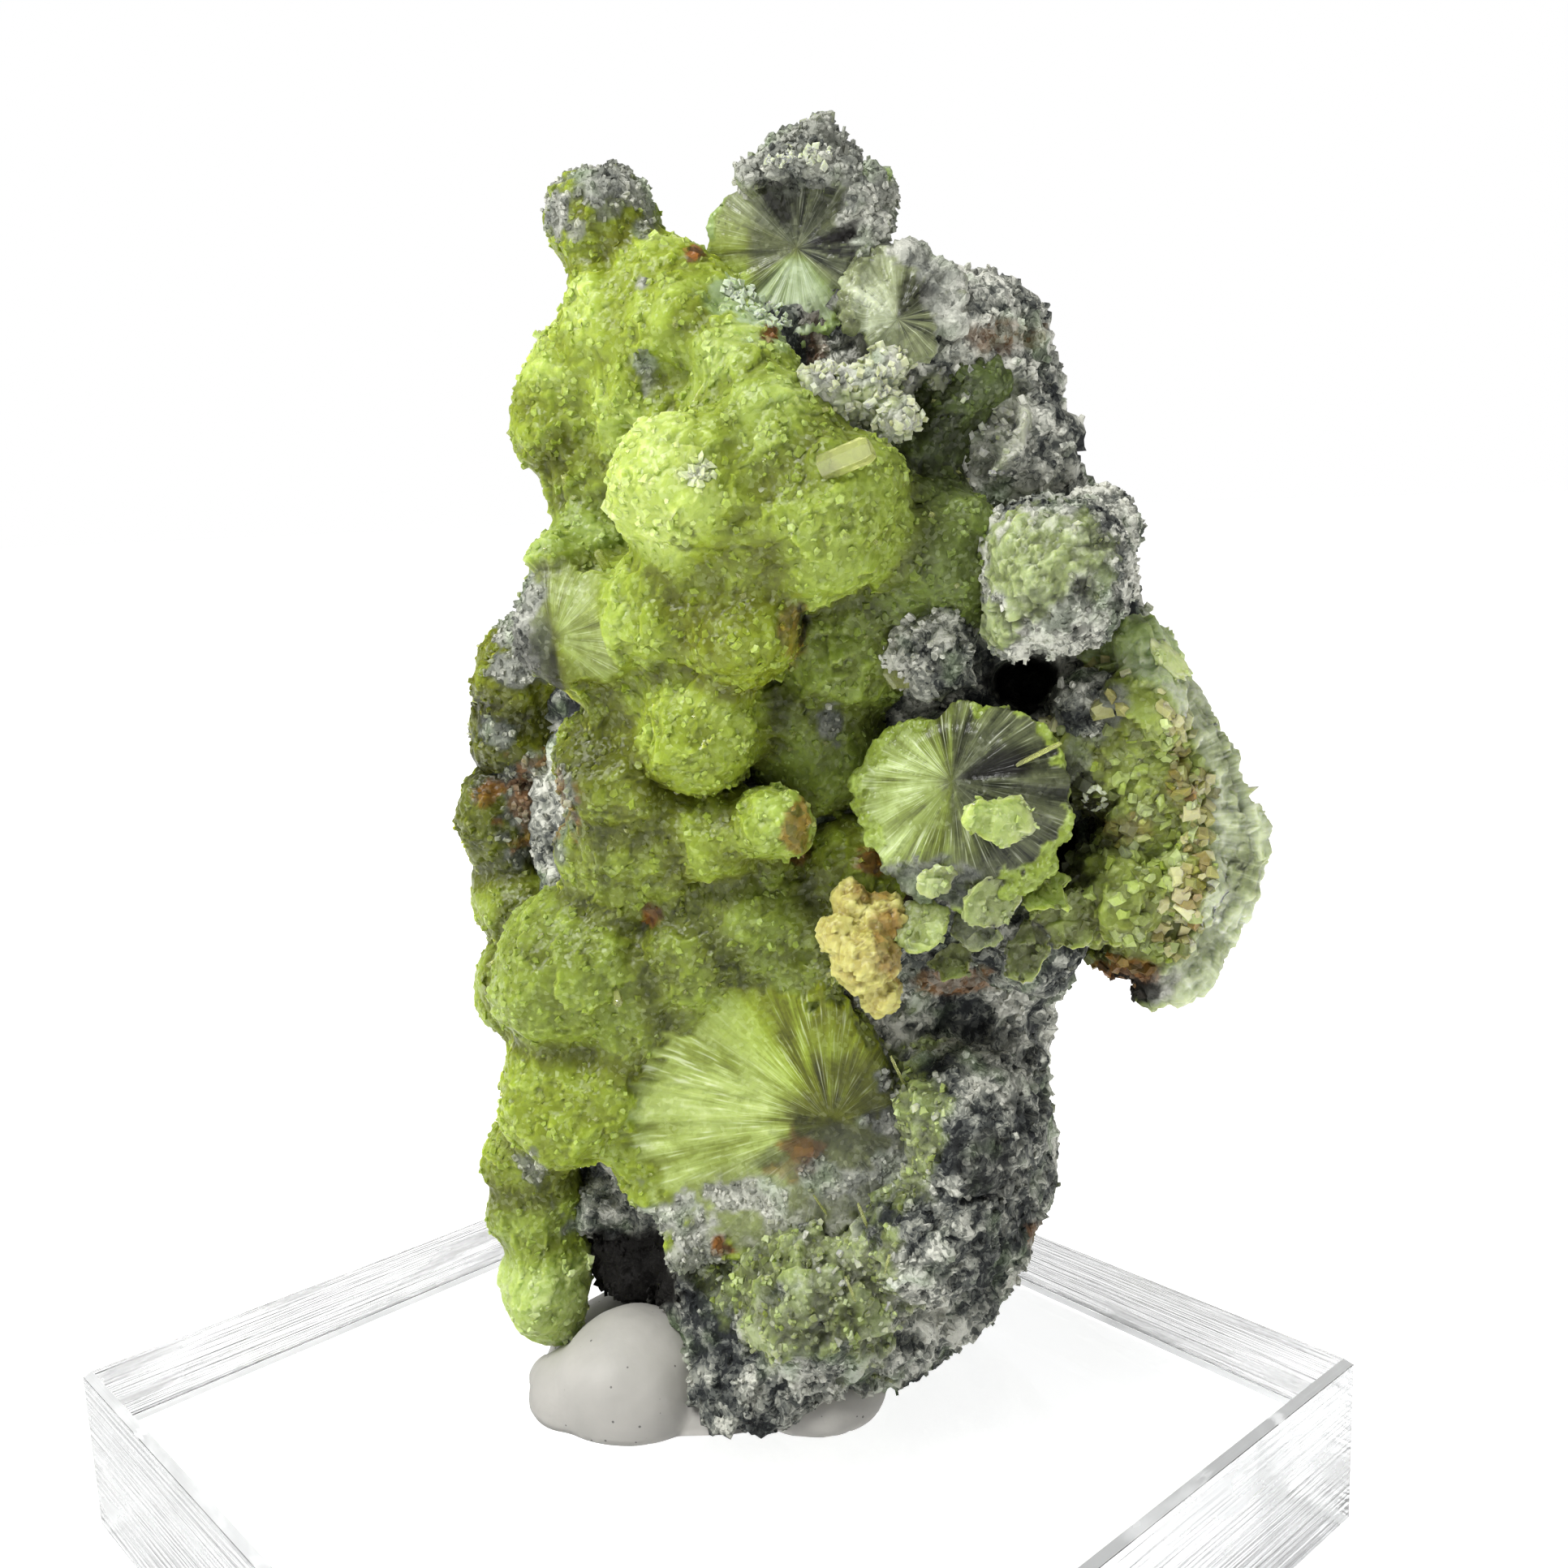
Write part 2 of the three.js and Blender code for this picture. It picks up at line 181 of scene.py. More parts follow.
def fused(shells, voxel):
    # one outer surface round overlapping closed shells
    rough = bpy.data.objects.new("shells", bareMesh("shells", *joined(shells)))
    bpy.context.scene.collection.objects.link(rough)
    remesh = rough.modifiers.new("fuse", "REMESH")
    remesh.mode = "VOXEL"
    remesh.voxel_size = voxel
    done = rough.evaluated_get(bpy.context.evaluated_depsgraph_get()).to_mesh()
    done.calc_loop_triangles()
    points = np.empty(3 * len(done.vertices), np.float32)
    done.vertices.foreach_get("co", points)
    triangles = np.empty(3 * len(done.loop_triangles), np.int32)
    done.loop_triangles.foreach_get("vertices", triangles)
    mesh = rough.data
    bpy.data.objects.remove(rough)
    bpy.data.meshes.remove(mesh)
    return points.reshape(-1, 3).astype(float), triangles.reshape(-1, 3)


mending = {
    "folded": 0.3,  # a face counts as folded over where the cosine of its turn is below this
    "rings": 4,  # how far round it the points are drawn together
    "rounds": 60,
}


def eased(shell, rounds, shrink=0.0):
    # Each round moves every point half way to the middle of its neighbours. Then the surface shrinks back,
    # and where that folds a thin neck over, its points are drawn together.
    points, triangles = shell
    ends = np.concatenate([triangles[:, [0, 1]], triangles[:, [1, 2]], triangles[:, [2, 0]]])
    count = np.bincount(ends[:, 0], minlength=len(points))[:, None]

    def around(values):
        total = [np.bincount(ends[:, 0], values[ends[:, 1], axis], len(values)) for axis in range(3)]
        return np.stack(total, 1) / count

    def faces():
        a, b, c = (points[triangles[:, i]] for i in range(3))
        return unit(np.cross(b - a, c - a))

    for _ in range(rounds):
        points = 0.5 * points + 0.5 * around(points)
    if shrink:
        before = faces()
        points = points - normalsOf(points, triangles) * shrink
        faulty = np.zeros(len(points))
        faulty[triangles[(before * faces()).sum(1) < mending["folded"]]] = 1
        for _ in range(mending["rings"]):
            faulty[ends[faulty[ends[:, 0]] > 0, 1]] = 1
        for _ in range(mending["rounds"]):
            points = np.where(faulty[:, None] > 0, around(points), points)
    return points, triangles


def normalsOf(points, triangles):
    # at each point the sum of the cross products of the triangles round it, divided by its length
    a, b, c = (points[triangles[:, i]] for i in range(3))
    face = np.cross(b - a, c - a)
    return unit(np.stack([sum(np.bincount(triangles[:, i], face[:, axis], len(points)) for i in range(3))
                          for axis in range(3)], 1))


def turned(points):
    # from the display side's directions to the frame's, and from millimetres to metres
    angle = math.radians(display["turn"])
    x, y, z = points[:, 0], points[:, 1], points[:, 2]
    return np.stack([x * math.cos(angle) - y * math.sin(angle),
                     x * math.sin(angle) + y * math.cos(angle), z], 1) / 1000


def newPiece(name, shell, material, replaces=(), marks=None, smooth=True):
    # a finished piece at the origin; marks are numbers for each point that its material reads
    points, triangles = shell
    mesh = bareMesh(name, turned(points), triangles)
    mesh.polygons.foreach_set("use_smooth", np.full(len(triangles), smooth))
    for mark, values in (marks or {}).items():
        layer = mesh.attributes.new(mark, "FLOAT", "POINT")
        values = np.broadcast_to(values, len(points))
        layer.data.foreach_set("value", np.ascontiguousarray(values, np.float32))
    mesh.materials.append(material)
    mesh.validate()
    piece = bpy.data.objects.new(name, mesh)
    bpy.context.scene.collection.objects.link(piece)
    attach(piece, "root")
    if replaces:
        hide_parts(*replaces)
    print(name, len(triangles), "triangles")
    return piece


def patchwork(points, patches, ragged=0.35, size=0.5, salt=0):
    # 1 inside any of the patches, which are ovals with ragged edges on the display side, each [x, z, half
    # width, half height, strength]; 0 on the back
    x, z = unseen(points)
    noise = ragged * (cloud(points, size, salt) + 0.5 * cloud(points, size / 3, salt + 1))
    cover = np.zeros(len(points))
    for across, up, wide, high, strength in patches:
        reach = np.hypot((x - across) / wide, (z - up) / high) + noise
        cover = np.maximum(cover, strength * (1 - soft(reach, 0.75, 1.15)))
    return cover * (1 - soft(points[:, 1], 2.6, 4.4))


# Shader maths: Value wraps a socket, so that 1 - mask adds its Math node.
class Value:
    def __init__(self, sheet, socket):
        self.sheet = sheet
        self.socket = socket

    def __add__(self, other):
        return self.sheet.math("ADD", self, other)

    def __radd__(self, other):
        return self.sheet.math("ADD", other, self)

    def __sub__(self, other):
        return self.sheet.math("SUBTRACT", self, other)

    def __rsub__(self, other):
        return self.sheet.math("SUBTRACT", other, self)

    def __mul__(self, other):
        return self.sheet.math("MULTIPLY", self, other)

    def __rmul__(self, other):
        return self.sheet.math("MULTIPLY", other, self)

    def __gt__(self, other):
        return self.sheet.math("GREATER_THAN", self, other)


class Sheet:
    # a material under construction
    def __init__(self, name):
        self.material = bpy.data.materials.new(name)
        self.material.use_nodes = True
        self.tree = self.material.node_tree
        self.tree.nodes.clear()

    def node(self, kind, settings=None, sockets=None, output=0):
        made = self.tree.nodes.new(kind)
        for key, value in (settings or {}).items():
            if key == "stops":
                ramp = made.color_ramp
                while len(ramp.elements) < len(value):
                    ramp.elements.new(1)
                for stop, (position, colour) in zip(ramp.elements, value):
                    stop.position = position
                    stop.color = (*colour, 1)
            else:
                setattr(made, key, value)
        for key, value in (sockets or {}).items():
            if isinstance(value, Value):
                self.tree.links.new(value.socket, made.inputs[key])
            elif isinstance(value, tuple) and len(value) == 3 and made.inputs[key].type == "RGBA":
                made.inputs[key].default_value = (*value, 1)
            else:
                made.inputs[key].default_value = value
        return Value(self, made.outputs[output]) if made.outputs else None

    def math(self, operation, a, b=None):
        return self.node("ShaderNodeMath", {"operation": operation}, {0: a} if b is None else {0: a, 1: b})

    def mark(self, name):
        return self.node("ShaderNodeAttribute", {"attribute_name": name}, output="Fac")

    def place(self, stretch=(1, 1, 1)):
        # Object coordinates in millimetres
        where = self.node("ShaderNodeTexCoord", output="Object")
        scale = tuple(1000 * s for s in stretch)
        return self.node("ShaderNodeMapping", None, {"Vector": where, "Scale": scale})

    def noise(self, size, detail=2.0, where=None, rough=0.5):
        sockets = {"Vector": where or self.place(), "Scale": 1 / size, "Detail": detail, "Roughness": rough}
        return self.node("ShaderNodeTexNoise", None, sockets, "Fac")

    def facets(self, size, where, slope=0.8):
        # Crystal faces: inside each cell a plane with its own tilt. Returns a chance for each cell, and
        # the height in millimetres, the offset from the cell's middle times the cell's own lean.
        chance = self.node("ShaderNodeTexVoronoi", None, {"Vector": where, "Scale": 1 / size}, "Color")
        middle = Value(self, chance.socket.node.outputs["Position"])
        off = self.node("ShaderNodeVectorMath", {"operation": "SUBTRACT"}, {0: where, 1: middle})
        lean = self.node("ShaderNodeVectorMath", {"operation": "SUBTRACT"}, {0: chance, 1: (0.5, 0.5, 0.5)})
        height = self.node("ShaderNodeVectorMath", {"operation": "DOT_PRODUCT"}, {0: off, 1: lean}, "Value")
        return self.node("ShaderNodeSeparateColor", None, {0: chance}, 0), height * slope

    def spokes(self, count, along, across, up):
        # noise in streaks that run away from the heart of a broken face: count is how fine they are round
        # it, and along how soon they change on their way out
        flat = self.node("ShaderNodeCombineXYZ", None, {0: across, 1: up})
        far = self.node("ShaderNodeVectorMath", {"operation": "LENGTH"}, {0: flat}, "Value")
        way = self.node("ShaderNodeVectorMath", {"operation": "NORMALIZE"}, {0: flat})
        way = self.node("ShaderNodeVectorMath", {"operation": "SCALE"}, {0: way, "Scale": count})
        out = self.node("ShaderNodeCombineXYZ", None, {2: far * along})
        place = self.node("ShaderNodeVectorMath", {"operation": "ADD"}, {0: way, 1: out})
        return self.noise(1.0, 1.0, place)

    def span(self, value, low, high, start=0.0, end=1.0):
        sockets = {"Value": value, "From Min": low, "From Max": high, "To Min": start, "To Max": end}
        return self.node("ShaderNodeMapRange", {"interpolation_type": "SMOOTHSTEP"}, sockets)

    def ramp(self, value, steps):
        stops = [(position, paints[name]) for position, name in steps]
        return self.node("ShaderNodeValToRGB", {"stops": stops}, {0: value})

    def blend(self, share, first, second):
        return self.node("ShaderNodeMix", {"data_type": "RGBA"}, {0: share, 6: first, 7: second}, 2)

    def bump(self, height, strength=1.0):
        # the height is in millimetres
        return self.node("ShaderNodeBump", None, {"Height": height, "Distance": 0.001, "Strength": strength})

    def shader(self, **sockets):
        sockets = {key.replace("_", " "): value for key, value in sockets.items()}
        return self.node("ShaderNodeBsdfPrincipled", None, sockets)

    def mixed(self, share, first, second):
        return self.node("ShaderNodeMixShader", None, {0: share, 1: first, 2: second})

    def finish(self, shader, inside=None):
        sockets = {"Surface": shader} if inside is None else {"Surface": shader, "Volume": inside}
        self.node("ShaderNodeOutputMaterial", None, sockets)
        return self.material


def tint(*screen):
    # a colour as screens give it, from 0 to 255, made linear by their own curve
    return tuple(((v / 255 + 0.055) / 1.055) ** 2.4 if v > 10 else v / 255 / 12.92 for v in screen)


paints = {
    "shade": tint(48, 50, 4), "olive": tint(96, 102, 14), "leaf": tint(136, 152, 42),
    "bright": tint(174, 193, 92), "pale": tint(206, 219, 148),
    "deepSea": tint(44, 56, 30), "sea": tint(116, 140, 88), "paleSea": tint(182, 202, 172),
    "deepAsh": tint(40, 43, 34), "ash": tint(126, 132, 100), "paleAsh": tint(196, 202, 176),
    "spark": tint(232, 236, 216), "rust": tint(172, 112, 46), "brown": tint(76, 54, 28),
    "blackGrain": tint(36, 39, 40), "darkGrain": tint(84, 87, 83), "grain": tint(140, 142, 132),
    "paleGrain": tint(208, 208, 196), "shadow": tint(14, 12, 9),
    "deepCream": tint(140, 122, 50), "cream": tint(188, 182, 108), "paleCream": tint(216, 214, 156),
}
greenSteps = [(0.0, "shade"), (0.3, "olive"), (0.55, "leaf"), (0.8, "bright"), (1.0, "pale")]
seaSteps = [(0.0, "deepSea"), (0.5, "sea"), (1.0, "paleSea")]
ashSteps = [(0.0, "deepAsh"), (0.5, "ash"), (1.0, "paleAsh")]
creamSteps = [(0.0, "deepCream"), (0.5, "cream"), (1.0, "paleCream")]
stoneSteps = [(0.1, "blackGrain"), (0.32, "darkGrain"), (0.56, "grain"), (0.84, "paleGrain")]
markNames = ("tone", "sea", "ash", "fibre", "crust", "rust", "dark", "across", "up")

crystalLook = {
    "faces": (0.3, 0.13),  # sizes of the larger and the finer crystal faces, in millimetres
    "faceTone": (0.06, 0.07),  # how much the tone steps from face to face
    "faceRelief": (0.55, 1.3),
    "glitter": 0.07,  # how white the painted glints on the palest fine faces are
    "clouds": (1.1, 0.34),  # size and strength of the slow changes in tone
    "bundles": (5, 0.35),  # fibres: how fine round their heart, and how soon they change on their way out
    "threads": (38, 0.9),
    "threadRelief": 0.07,
    "fibreTone": 1.3,
    "bump": 0.42,
    "mirror": 0.25,  # the strength of the highlights, here and on the crust
}
crustLook = {
    "grains": (0.3, 0.14),  # sizes of the larger and the finer grains, in millimetres
    "grainTone": (0.16, 0.14),
    "clouds": ((0.7, 0.5), (2.4, 0.8)),  # sizes and strengths of the changes in tone
    "warp": (1.8, 0.9),  # noise that bends the grains out of their straight edges
    "green": (1.7, 0.5),  # size and strength of the greenish patches
    "relief": 1.2,
    "bump": 0.7,
}


def mineral(name, steps=greenSteps, gloss=0.38, glow=0.85, glowScale=0.0009, contrast=0.8):
    # Crystals that let light in, under a grey granular crust, rust, and dark marks that paint shade in
    # holes, gaps and cracks, with some dark staining. The marks: tone runs from dark to bright, sea is how
    # blue-green it is, ash how grey, and fibre how much it shows fibres, whose heart lies at across = up = 0.
    # On the crust, tone and ash both make the grains paler.
    look = crystalLook
    sheet = Sheet(name)
    tone, sea, ash, fibre, crust, rust, dark, across, up = (sheet.mark(mark) for mark in markNames)
    where = sheet.place()
    chance, tilt = sheet.facets(look["faces"][0], where)
    fineChance, fineTilt = sheet.facets(look["faces"][1], where)
    bundle = sheet.spokes(*look["bundles"], across, up)
    thread = sheet.spokes(*look["threads"], across, up)
    show = fibre * sheet.span(sheet.noise(1.6, 2.0, where), 0.38, 0.6, 0.25, 1.0)
    streak = bundle * 0.9 + thread * 0.45 - 0.675  # 0 where both noises are at their middle
    level = tone + (sheet.noise(look["clouds"][0], 3.0, where) - 0.5) * look["clouds"][1]
    level = level + (chance - 0.5) * look["faceTone"][0] + (fineChance - 0.5) * look["faceTone"][1]
    level = level + show * streak * look["fibreTone"]
    colour = sheet.ramp(level, steps)
    colour = sheet.blend(sea, colour, sheet.ramp(level, seaSteps))
    colour = sheet.blend(ash, colour, sheet.ramp(level, ashSteps))
    colour = sheet.blend(show * sheet.span(thread, 0.58, 0.75, 0.0, 0.35), colour, paints["spark"])
    # painted glints: the palest fine faces are blended towards white
    glitter = sheet.span(fineChance, 0.7, 0.95, 0.0, look["glitter"]) * (1 - show)
    colour = sheet.blend(glitter, colour, paints["spark"])
    stain = sheet.blend(chance * 0.6, paints["brown"], paints["rust"])
    # the dark mark blends towards the painted shadow colour
    colour = sheet.blend(dark, sheet.blend(rust, colour, stain), paints["shadow"])
    relief = (tilt * look["faceRelief"][0] + fineTilt * look["faceRelief"][1]) * (1 - show * 0.85)
    relief = relief + show * thread * look["threadRelief"]
    crystal = sheet.shader(
        Base_Color=colour, Roughness=gloss, Subsurface_Weight=glow, Subsurface_Radius=(0.85, 1.0, 0.35),
        Subsurface_Scale=glowScale, Specular_IOR_Level=look["mirror"],
        Normal=sheet.bump(relief, look["bump"]))

    stony = crustLook
    warp = {"Vector": where, "Scale": stony["warp"][0], "Detail": 3.0}
    warp = sheet.node("ShaderNodeTexNoise", None, warp, "Color")
    push = (stony["warp"][1],) * 3
    bent = sheet.node("ShaderNodeVectorMath", {"operation": "MULTIPLY_ADD"}, {0: warp, 1: push, 2: where})
    grain, grainTilt = sheet.facets(stony["grains"][0], bent)
    grit, gritTilt = sheet.facets(stony["grains"][1], bent)
    (fineSize, fineTone), (slowSize, slowTone) = stony["clouds"]
    level = grain * stony["grainTone"][0] + grit * stony["grainTone"][1]
    level = level + sheet.noise(fineSize, 4.0, where) * fineTone
    level = level + sheet.noise(slowSize, 3.0, where) * slowTone - 0.8
    level = level * contrast + 0.11 + tone * 0.45 + ash * 0.4
    green = sheet.span(sheet.noise(stony["green"][0], 2.0, where), 0.5, 0.75, 0.0, stony["green"][1])
    stone = sheet.blend(green, sheet.ramp(level, stoneSteps), sheet.ramp(level, seaSteps))
    # the dark mark blends towards the painted shadow colour
    stone = sheet.blend(dark, sheet.blend(rust, stone, stain), paints["shadow"])
    rough = sheet.shader(Base_Color=stone, Roughness=0.75, Specular_IOR_Level=look["mirror"],
                         Normal=sheet.bump((grainTilt + gritTilt) * stony["relief"], stony["bump"]))
    return sheet.finish(sheet.mixed(crust, crystal, rough))


sugarGreen = mineral("sugary_wavellite")
silkGreen = mineral("silky_wavellite", gloss=0.28, glow=0.4, glowScale=0.0003)
yellowCream = mineral("creamy_druse", creamSteps, 0.4, 0.5, 0.0003)
granular = mineral("granular_rock", contrast=2.2)
sugarGrains = mineral("sugar_grains", glow=0.5, glowScale=0.00015)
sheet = Sheet("clear_crystal")
clearCrystal = sheet.finish(sheet.shader(
    Base_Color=tint(222, 226, 150), Roughness=0.12, IOR=1.54, Transmission_Weight=0.75,
    Normal=sheet.bump(sheet.facets(0.3, sheet.place())[1], 0.3)))
print("materials made")


def ballsOf(rows, stretch=1.0, rings=15, columns=24):
    # balls whose rows are [x, z, front, radius, ...]
    radii = trueRadius(rows[:, 2], rows[:, 3])[:, None] * stretch
    return balls(seen(rows[:, 0], rows[:, 1], rows[:, 2]), radii, rings, columns)


def budded(rows, buds, budSize, squeeze=0.96, grow=0.0):
    # every ball with smaller ones half sunk in it, their directions spread evenly and then shaken
    middles = seen(rows[:, 0], rows[:, 1], rows[:, 2])
    radii = trueRadius(rows[:, 2], rows[:, 3])
    turns = np.arange(buds) * math.pi * (3 - math.sqrt(5))
    heights = 1 - 2 * (np.arange(buds) + 0.5) / buds
    wide = np.sqrt(1 - heights ** 2)
    spread = np.stack([np.cos(turns) * wide, np.sin(turns) * wide, heights], 1)
    ways = unit(spread[None] + 0.45 * dice.normal(size=(len(rows), buds, 3)))
    share = dice.uniform(*budSize, (len(rows), buds, 1))
    budMiddles = middles[:, None] + ways * radii[:, None, None] * (1.03 - share)
    return [balls(middles, (radii * squeeze)[:, None] + grow, 15, 24),
            balls(budMiddles.reshape(-1, 3), (share * radii[:, None, None]).reshape(-1, 1) + grow, 8, 14)]


def nearestOf(points, rows, columns):
    # values of the balls, blended between the balls that a point lies closest to, and 1 in the creases,
    # where two balls are as close
    sharpness, creaseWidth = 2.5, 1.1
    middles = seen(rows[:, 0], rows[:, 1], rows[:, 2])
    radii = trueRadius(rows[:, 2], rows[:, 3])
    away = np.linalg.norm(points[:, None] - middles[None], axis=2) - radii
    two = np.partition(away, 1, axis=1)[:, :2]
    weight = np.exp(-sharpness * (away - two[:, :1]))
    weight /= weight.sum(1, keepdims=True)
    crease = 1 - soft(two[:, 1] - two[:, 0], 0.0, creaseWidth)
    return [weight @ rows[:, column] for column in columns] + [crease]


def ringNoise(angles, knots, salt):
    # smooth noise from -1 to 1 round a circle, from as many chances as it has knots
    values = 2 * np.random.default_rng(salt).random(knots) - 1
    place = angles / (2 * np.pi) * knots
    low = np.floor(place).astype(int)
    share = place - low
    share = share * share * (3 - 2 * share)
    return values[low % knots] * (1 - share) + values[(low + 1) % knots] * share


def facingAxes(facing):
    # the directions right and up on a face that looks along facing, and out of it
    outward = unit([facing[0], -facing[1], facing[2]])
    across = unit(np.cross([0, 0, 1], outward))
    return across, np.cross(outward, across), outward


def brokenBall(ball, rings=26, columns=120, grow=0.0):
    # A ball broken open. At a share of the radius the face's height is dish * (share^2 - 1), and from
    # the ragged rim on, the rings close round a back that is depth deep.
    angles = np.arange(columns) * 2 * np.pi / columns
    right, high = np.cos(angles), np.sin(angles)
    share = (np.arange(rings) + 1)[:, None] / rings
    wave = ringNoise(angles, 9, ball["salt"]) + 0.7 * ringNoise(angles, 23, ball["salt"] + 1)
    rim = 1 + ball["ragged"] * wave
    if "corners" in ball:  # straight edges: cos(half a side) / cos(the angle from the middle of the side)
        half = np.pi / ball["corners"]
        shaken = angles + 0.25 * ringNoise(angles, 4, ball["salt"] + 2)
        rim *= np.cos(half) / np.cos(shaken % (2 * half) - half)
    reach = share * (1 + (rim - 1) * share ** 2)
    face = np.stack([reach * right, reach * high, ball["dish"] * (share ** 2 - 1) + 0 * angles], -1)
    polar = np.linspace(np.pi / 2, np.pi, rings // 2 + 2)[1:-1, None]
    depth = ball.get("depth", 1)
    wide = rim * np.sin(polar)
    back = np.stack([wide * right, wide * high, depth * np.cos(polar) + 0 * angles], -1)
    front, end = [[0, 0, -ball["dish"]]], [[0, 0, -depth]]
    flat = np.concatenate([front, face.reshape(-1, 3), back.reshape(-1, 3), end])
    spin = math.radians(ball.get("spin", 0))
    flat[:, :2] *= ball.get("stretch", (1, 1))
    flat[:, :2] = flat[:, :2] @ [[math.cos(spin), math.sin(spin)], [-math.sin(spin), math.cos(spin)]]
    flat[:, 2] -= ball.get("roll", 0) * soft(np.hypot(flat[:, 0], flat[:, 1]), 0.6, 1.05)
    radius = trueRadius(ball["at"][2], ball["radius"])
    axes = np.array(facingAxes(ball["facing"]))
    return radius * flat @ axes + seen(*ball["at"]) + grow * axes[2], wrapped(rings + rings // 2, columns)


def rimLumps(ball):
    # lumps along part of a broken ball's rim, sunk behind its face
    start, end, count, size, sink = ball["rim"]
    angles = np.radians(np.linspace(start, end, count) + 5 * dice.uniform(-1, 1, count))[:, None]
    across, up, outward = facingAxes(ball["facing"])
    reach = trueRadius(ball["at"][2], ball["radius"]) * (1 + 0.05 * dice.uniform(-1, 1, (count, 1)))
    middles = seen(*ball["at"]) + reach * (np.cos(angles) * across + np.sin(angles) * up) - sink * outward
    return balls(middles, size * dice.uniform(0.7, 1.25, (count, 1)), 11, 18)


def faceOf(shell, ball):
    # how points lie to a broken ball's face: across and up from its heart in millimetres, the share of
    # the radius, the angle round the heart, 1 on the face itself, and how its bundles of fibres step
    points, bundles = shell[0], ball["bundles"]
    across, up, outward = facingAxes(ball["facing"])
    radius = trueRadius(ball["at"][2], ball["radius"])
    off = points - seen(*ball["at"])
    side, rise, height = off @ across, off @ up, off @ outward
    share = np.hypot(side, rise) / radius
    level = radius * (ball["dish"] * (share ** 2 - 1) - ball.get("roll", 0) * soft(share, 0.6, 1.05))
    noise = cloud(points, 0.8, ball["salt"]) + cloud(points, 0.3, ball["salt"] + 1)
    edge = ball.get("edge", 0.93)
    on = 1 - soft(np.abs(height - level), 0.3, 0.6)
    on = on * (1 - soft(share + ball["ragged"] * noise, edge, edge + 0.07))
    side, rise = side - ball["heart"][0], rise - ball["heart"][1]
    share = np.hypot(side, rise) / radius
    angles = np.arctan2(rise, side) % (2 * np.pi)
    draws = np.random.default_rng(ball["salt"])
    bundle = np.searchsorted(np.sort(draws.random(bundles)) * 2 * np.pi, angles) % bundles
    start = draws.random(bundles)[bundle]
    drop = draws.uniform(-1, 1, bundles)[bundle]
    steps = soft(share, start - 0.04, start + 0.04) * drop + 0.5 * share * ringNoise(angles, 3 * bundles, 5)
    return {"on": on, "across": side, "up": rise, "share": share, "turns": np.degrees(angles), "steps": steps}


def sectors(face, rows):
    # 1 inside sectors of a broken face: [middle angle, half width, from share, to share, strength]
    blur = 0.12
    cover = np.zeros(len(face["on"]))
    for middle, half, start, end, strength in rows:
        off = np.abs((face["turns"] - middle + 180) % 360 - 180)
        near = 1 - soft(off + 12 * face["steps"], half * 0.5, half * 1.4)
        ring = soft(face["share"], start - blur, start + blur)
        ring = ring * (1 - soft(face["share"], end - blur, end + blur))
        cover = np.maximum(cover, strength * near * ring)
    return cover * face["on"]


def dressed(shell, crystals, salt=0, swells=(), step=0.12, ball=None):
    # Finishes a surface: slow swells and crystal faces lift its points along their normals, and on the
    # face of a broken ball the fibres do. Returns the shell, how far each point stands out, from 0 to 1,
    # and how the points lie to the face.
    points, triangles = shell
    swell = sum(height * cloud(points, size, salt + size) for size, height in swells)
    grain = sum(plates(points, size, salt + 7 * number, slope, step)
                for number, (size, slope) in enumerate(crystals))
    lift = grain + swell
    face = None
    if ball:
        face = faceOf(shell, ball)
        lift = lift * (1 - face["on"]) + face["on"] * ball["pleat"] * face["steps"]
    points = points + normalsOf(points, triangles) * lift[:, None]
    return (points, triangles), soft(grain, -0.15, 0.15), face


def marksOf(tone, face=None, **given):
    # every mark of the mineral materials, 0 where it isn't given
    marks = {mark: 0.0 for mark in markNames}
    if face:
        marks.update(fibre=face["on"], across=face["across"], up=face["up"])
    marks.update(given, tone=tone)
    return marks


def inward(points, pits):
    # the display side's surface pushed away from the eye inside ovals, each with its depth
    x, z = unseen(points)
    away = unit(points - eye) * (1 - soft(points[:, 1:2], 1.0, 3.0))
    for across, up, wide, high, depth in pits:
        share = 1 - soft(np.hypot((x - across) / wide, (z - up) / high), 0.55, 1.1)
        points = points + away * (share * depth)[:, None]
    return points


def spots(shell, spacing, cover):
    # points of a surface at about one spacing, as likely as the cover is high
    points, triangles = shell
    order = dice.permutation(len(points))
    cell = np.floor(points[order] / spacing).astype(int)
    _, first = np.unique((cell[:, 0] * 4001 + cell[:, 1]) * 4001 + cell[:, 2], return_index=True)
    chosen = order[first]
    chosen = chosen[dice.random(len(chosen)) < np.broadcast_to(cover, len(points))[chosen]]
    return points[chosen], normalsOf(points, triangles)[chosen], chosen


def chip(sides, levels):
    # a small crystal: rings of corners from its top down, each [radius, height], and a point at each end
    angles = np.arange(sides) * 2 * np.pi / sides
    rings = [[r * np.cos(a), r * np.sin(a), h] for r, h in levels for a in angles]
    return (np.array([[0, 0, levels[0][1]], *rings, [0, 0, levels[-1][1]]]), wrapped(len(levels), sides))


def sown(form, places, normals, sizes, tilt, sink=0.0, shake=0.25):
    # a crystal's form at each place, turned at random about a normal that leans by up to the tilt
    outline, triangles = form
    count = len(places)
    up = unit(normals + tilt * dice.normal(size=(count, 3)))
    across = unit(np.cross(up, dice.normal(size=(count, 3))))
    along = np.cross(up, across)
    shape = outline[None] * sizes[:, None] * (1 + shake * dice.uniform(-1, 1, (count, len(outline), 1)))
    points = (places[:, None] + shape[..., :1] * across[:, None] + shape[..., 1:2] * along[:, None]
              + (shape[..., 2:] - sink * sizes[:, None, 2:]) * up[:, None])
    return points.reshape(-1, 3), copies(outline, triangles, count)


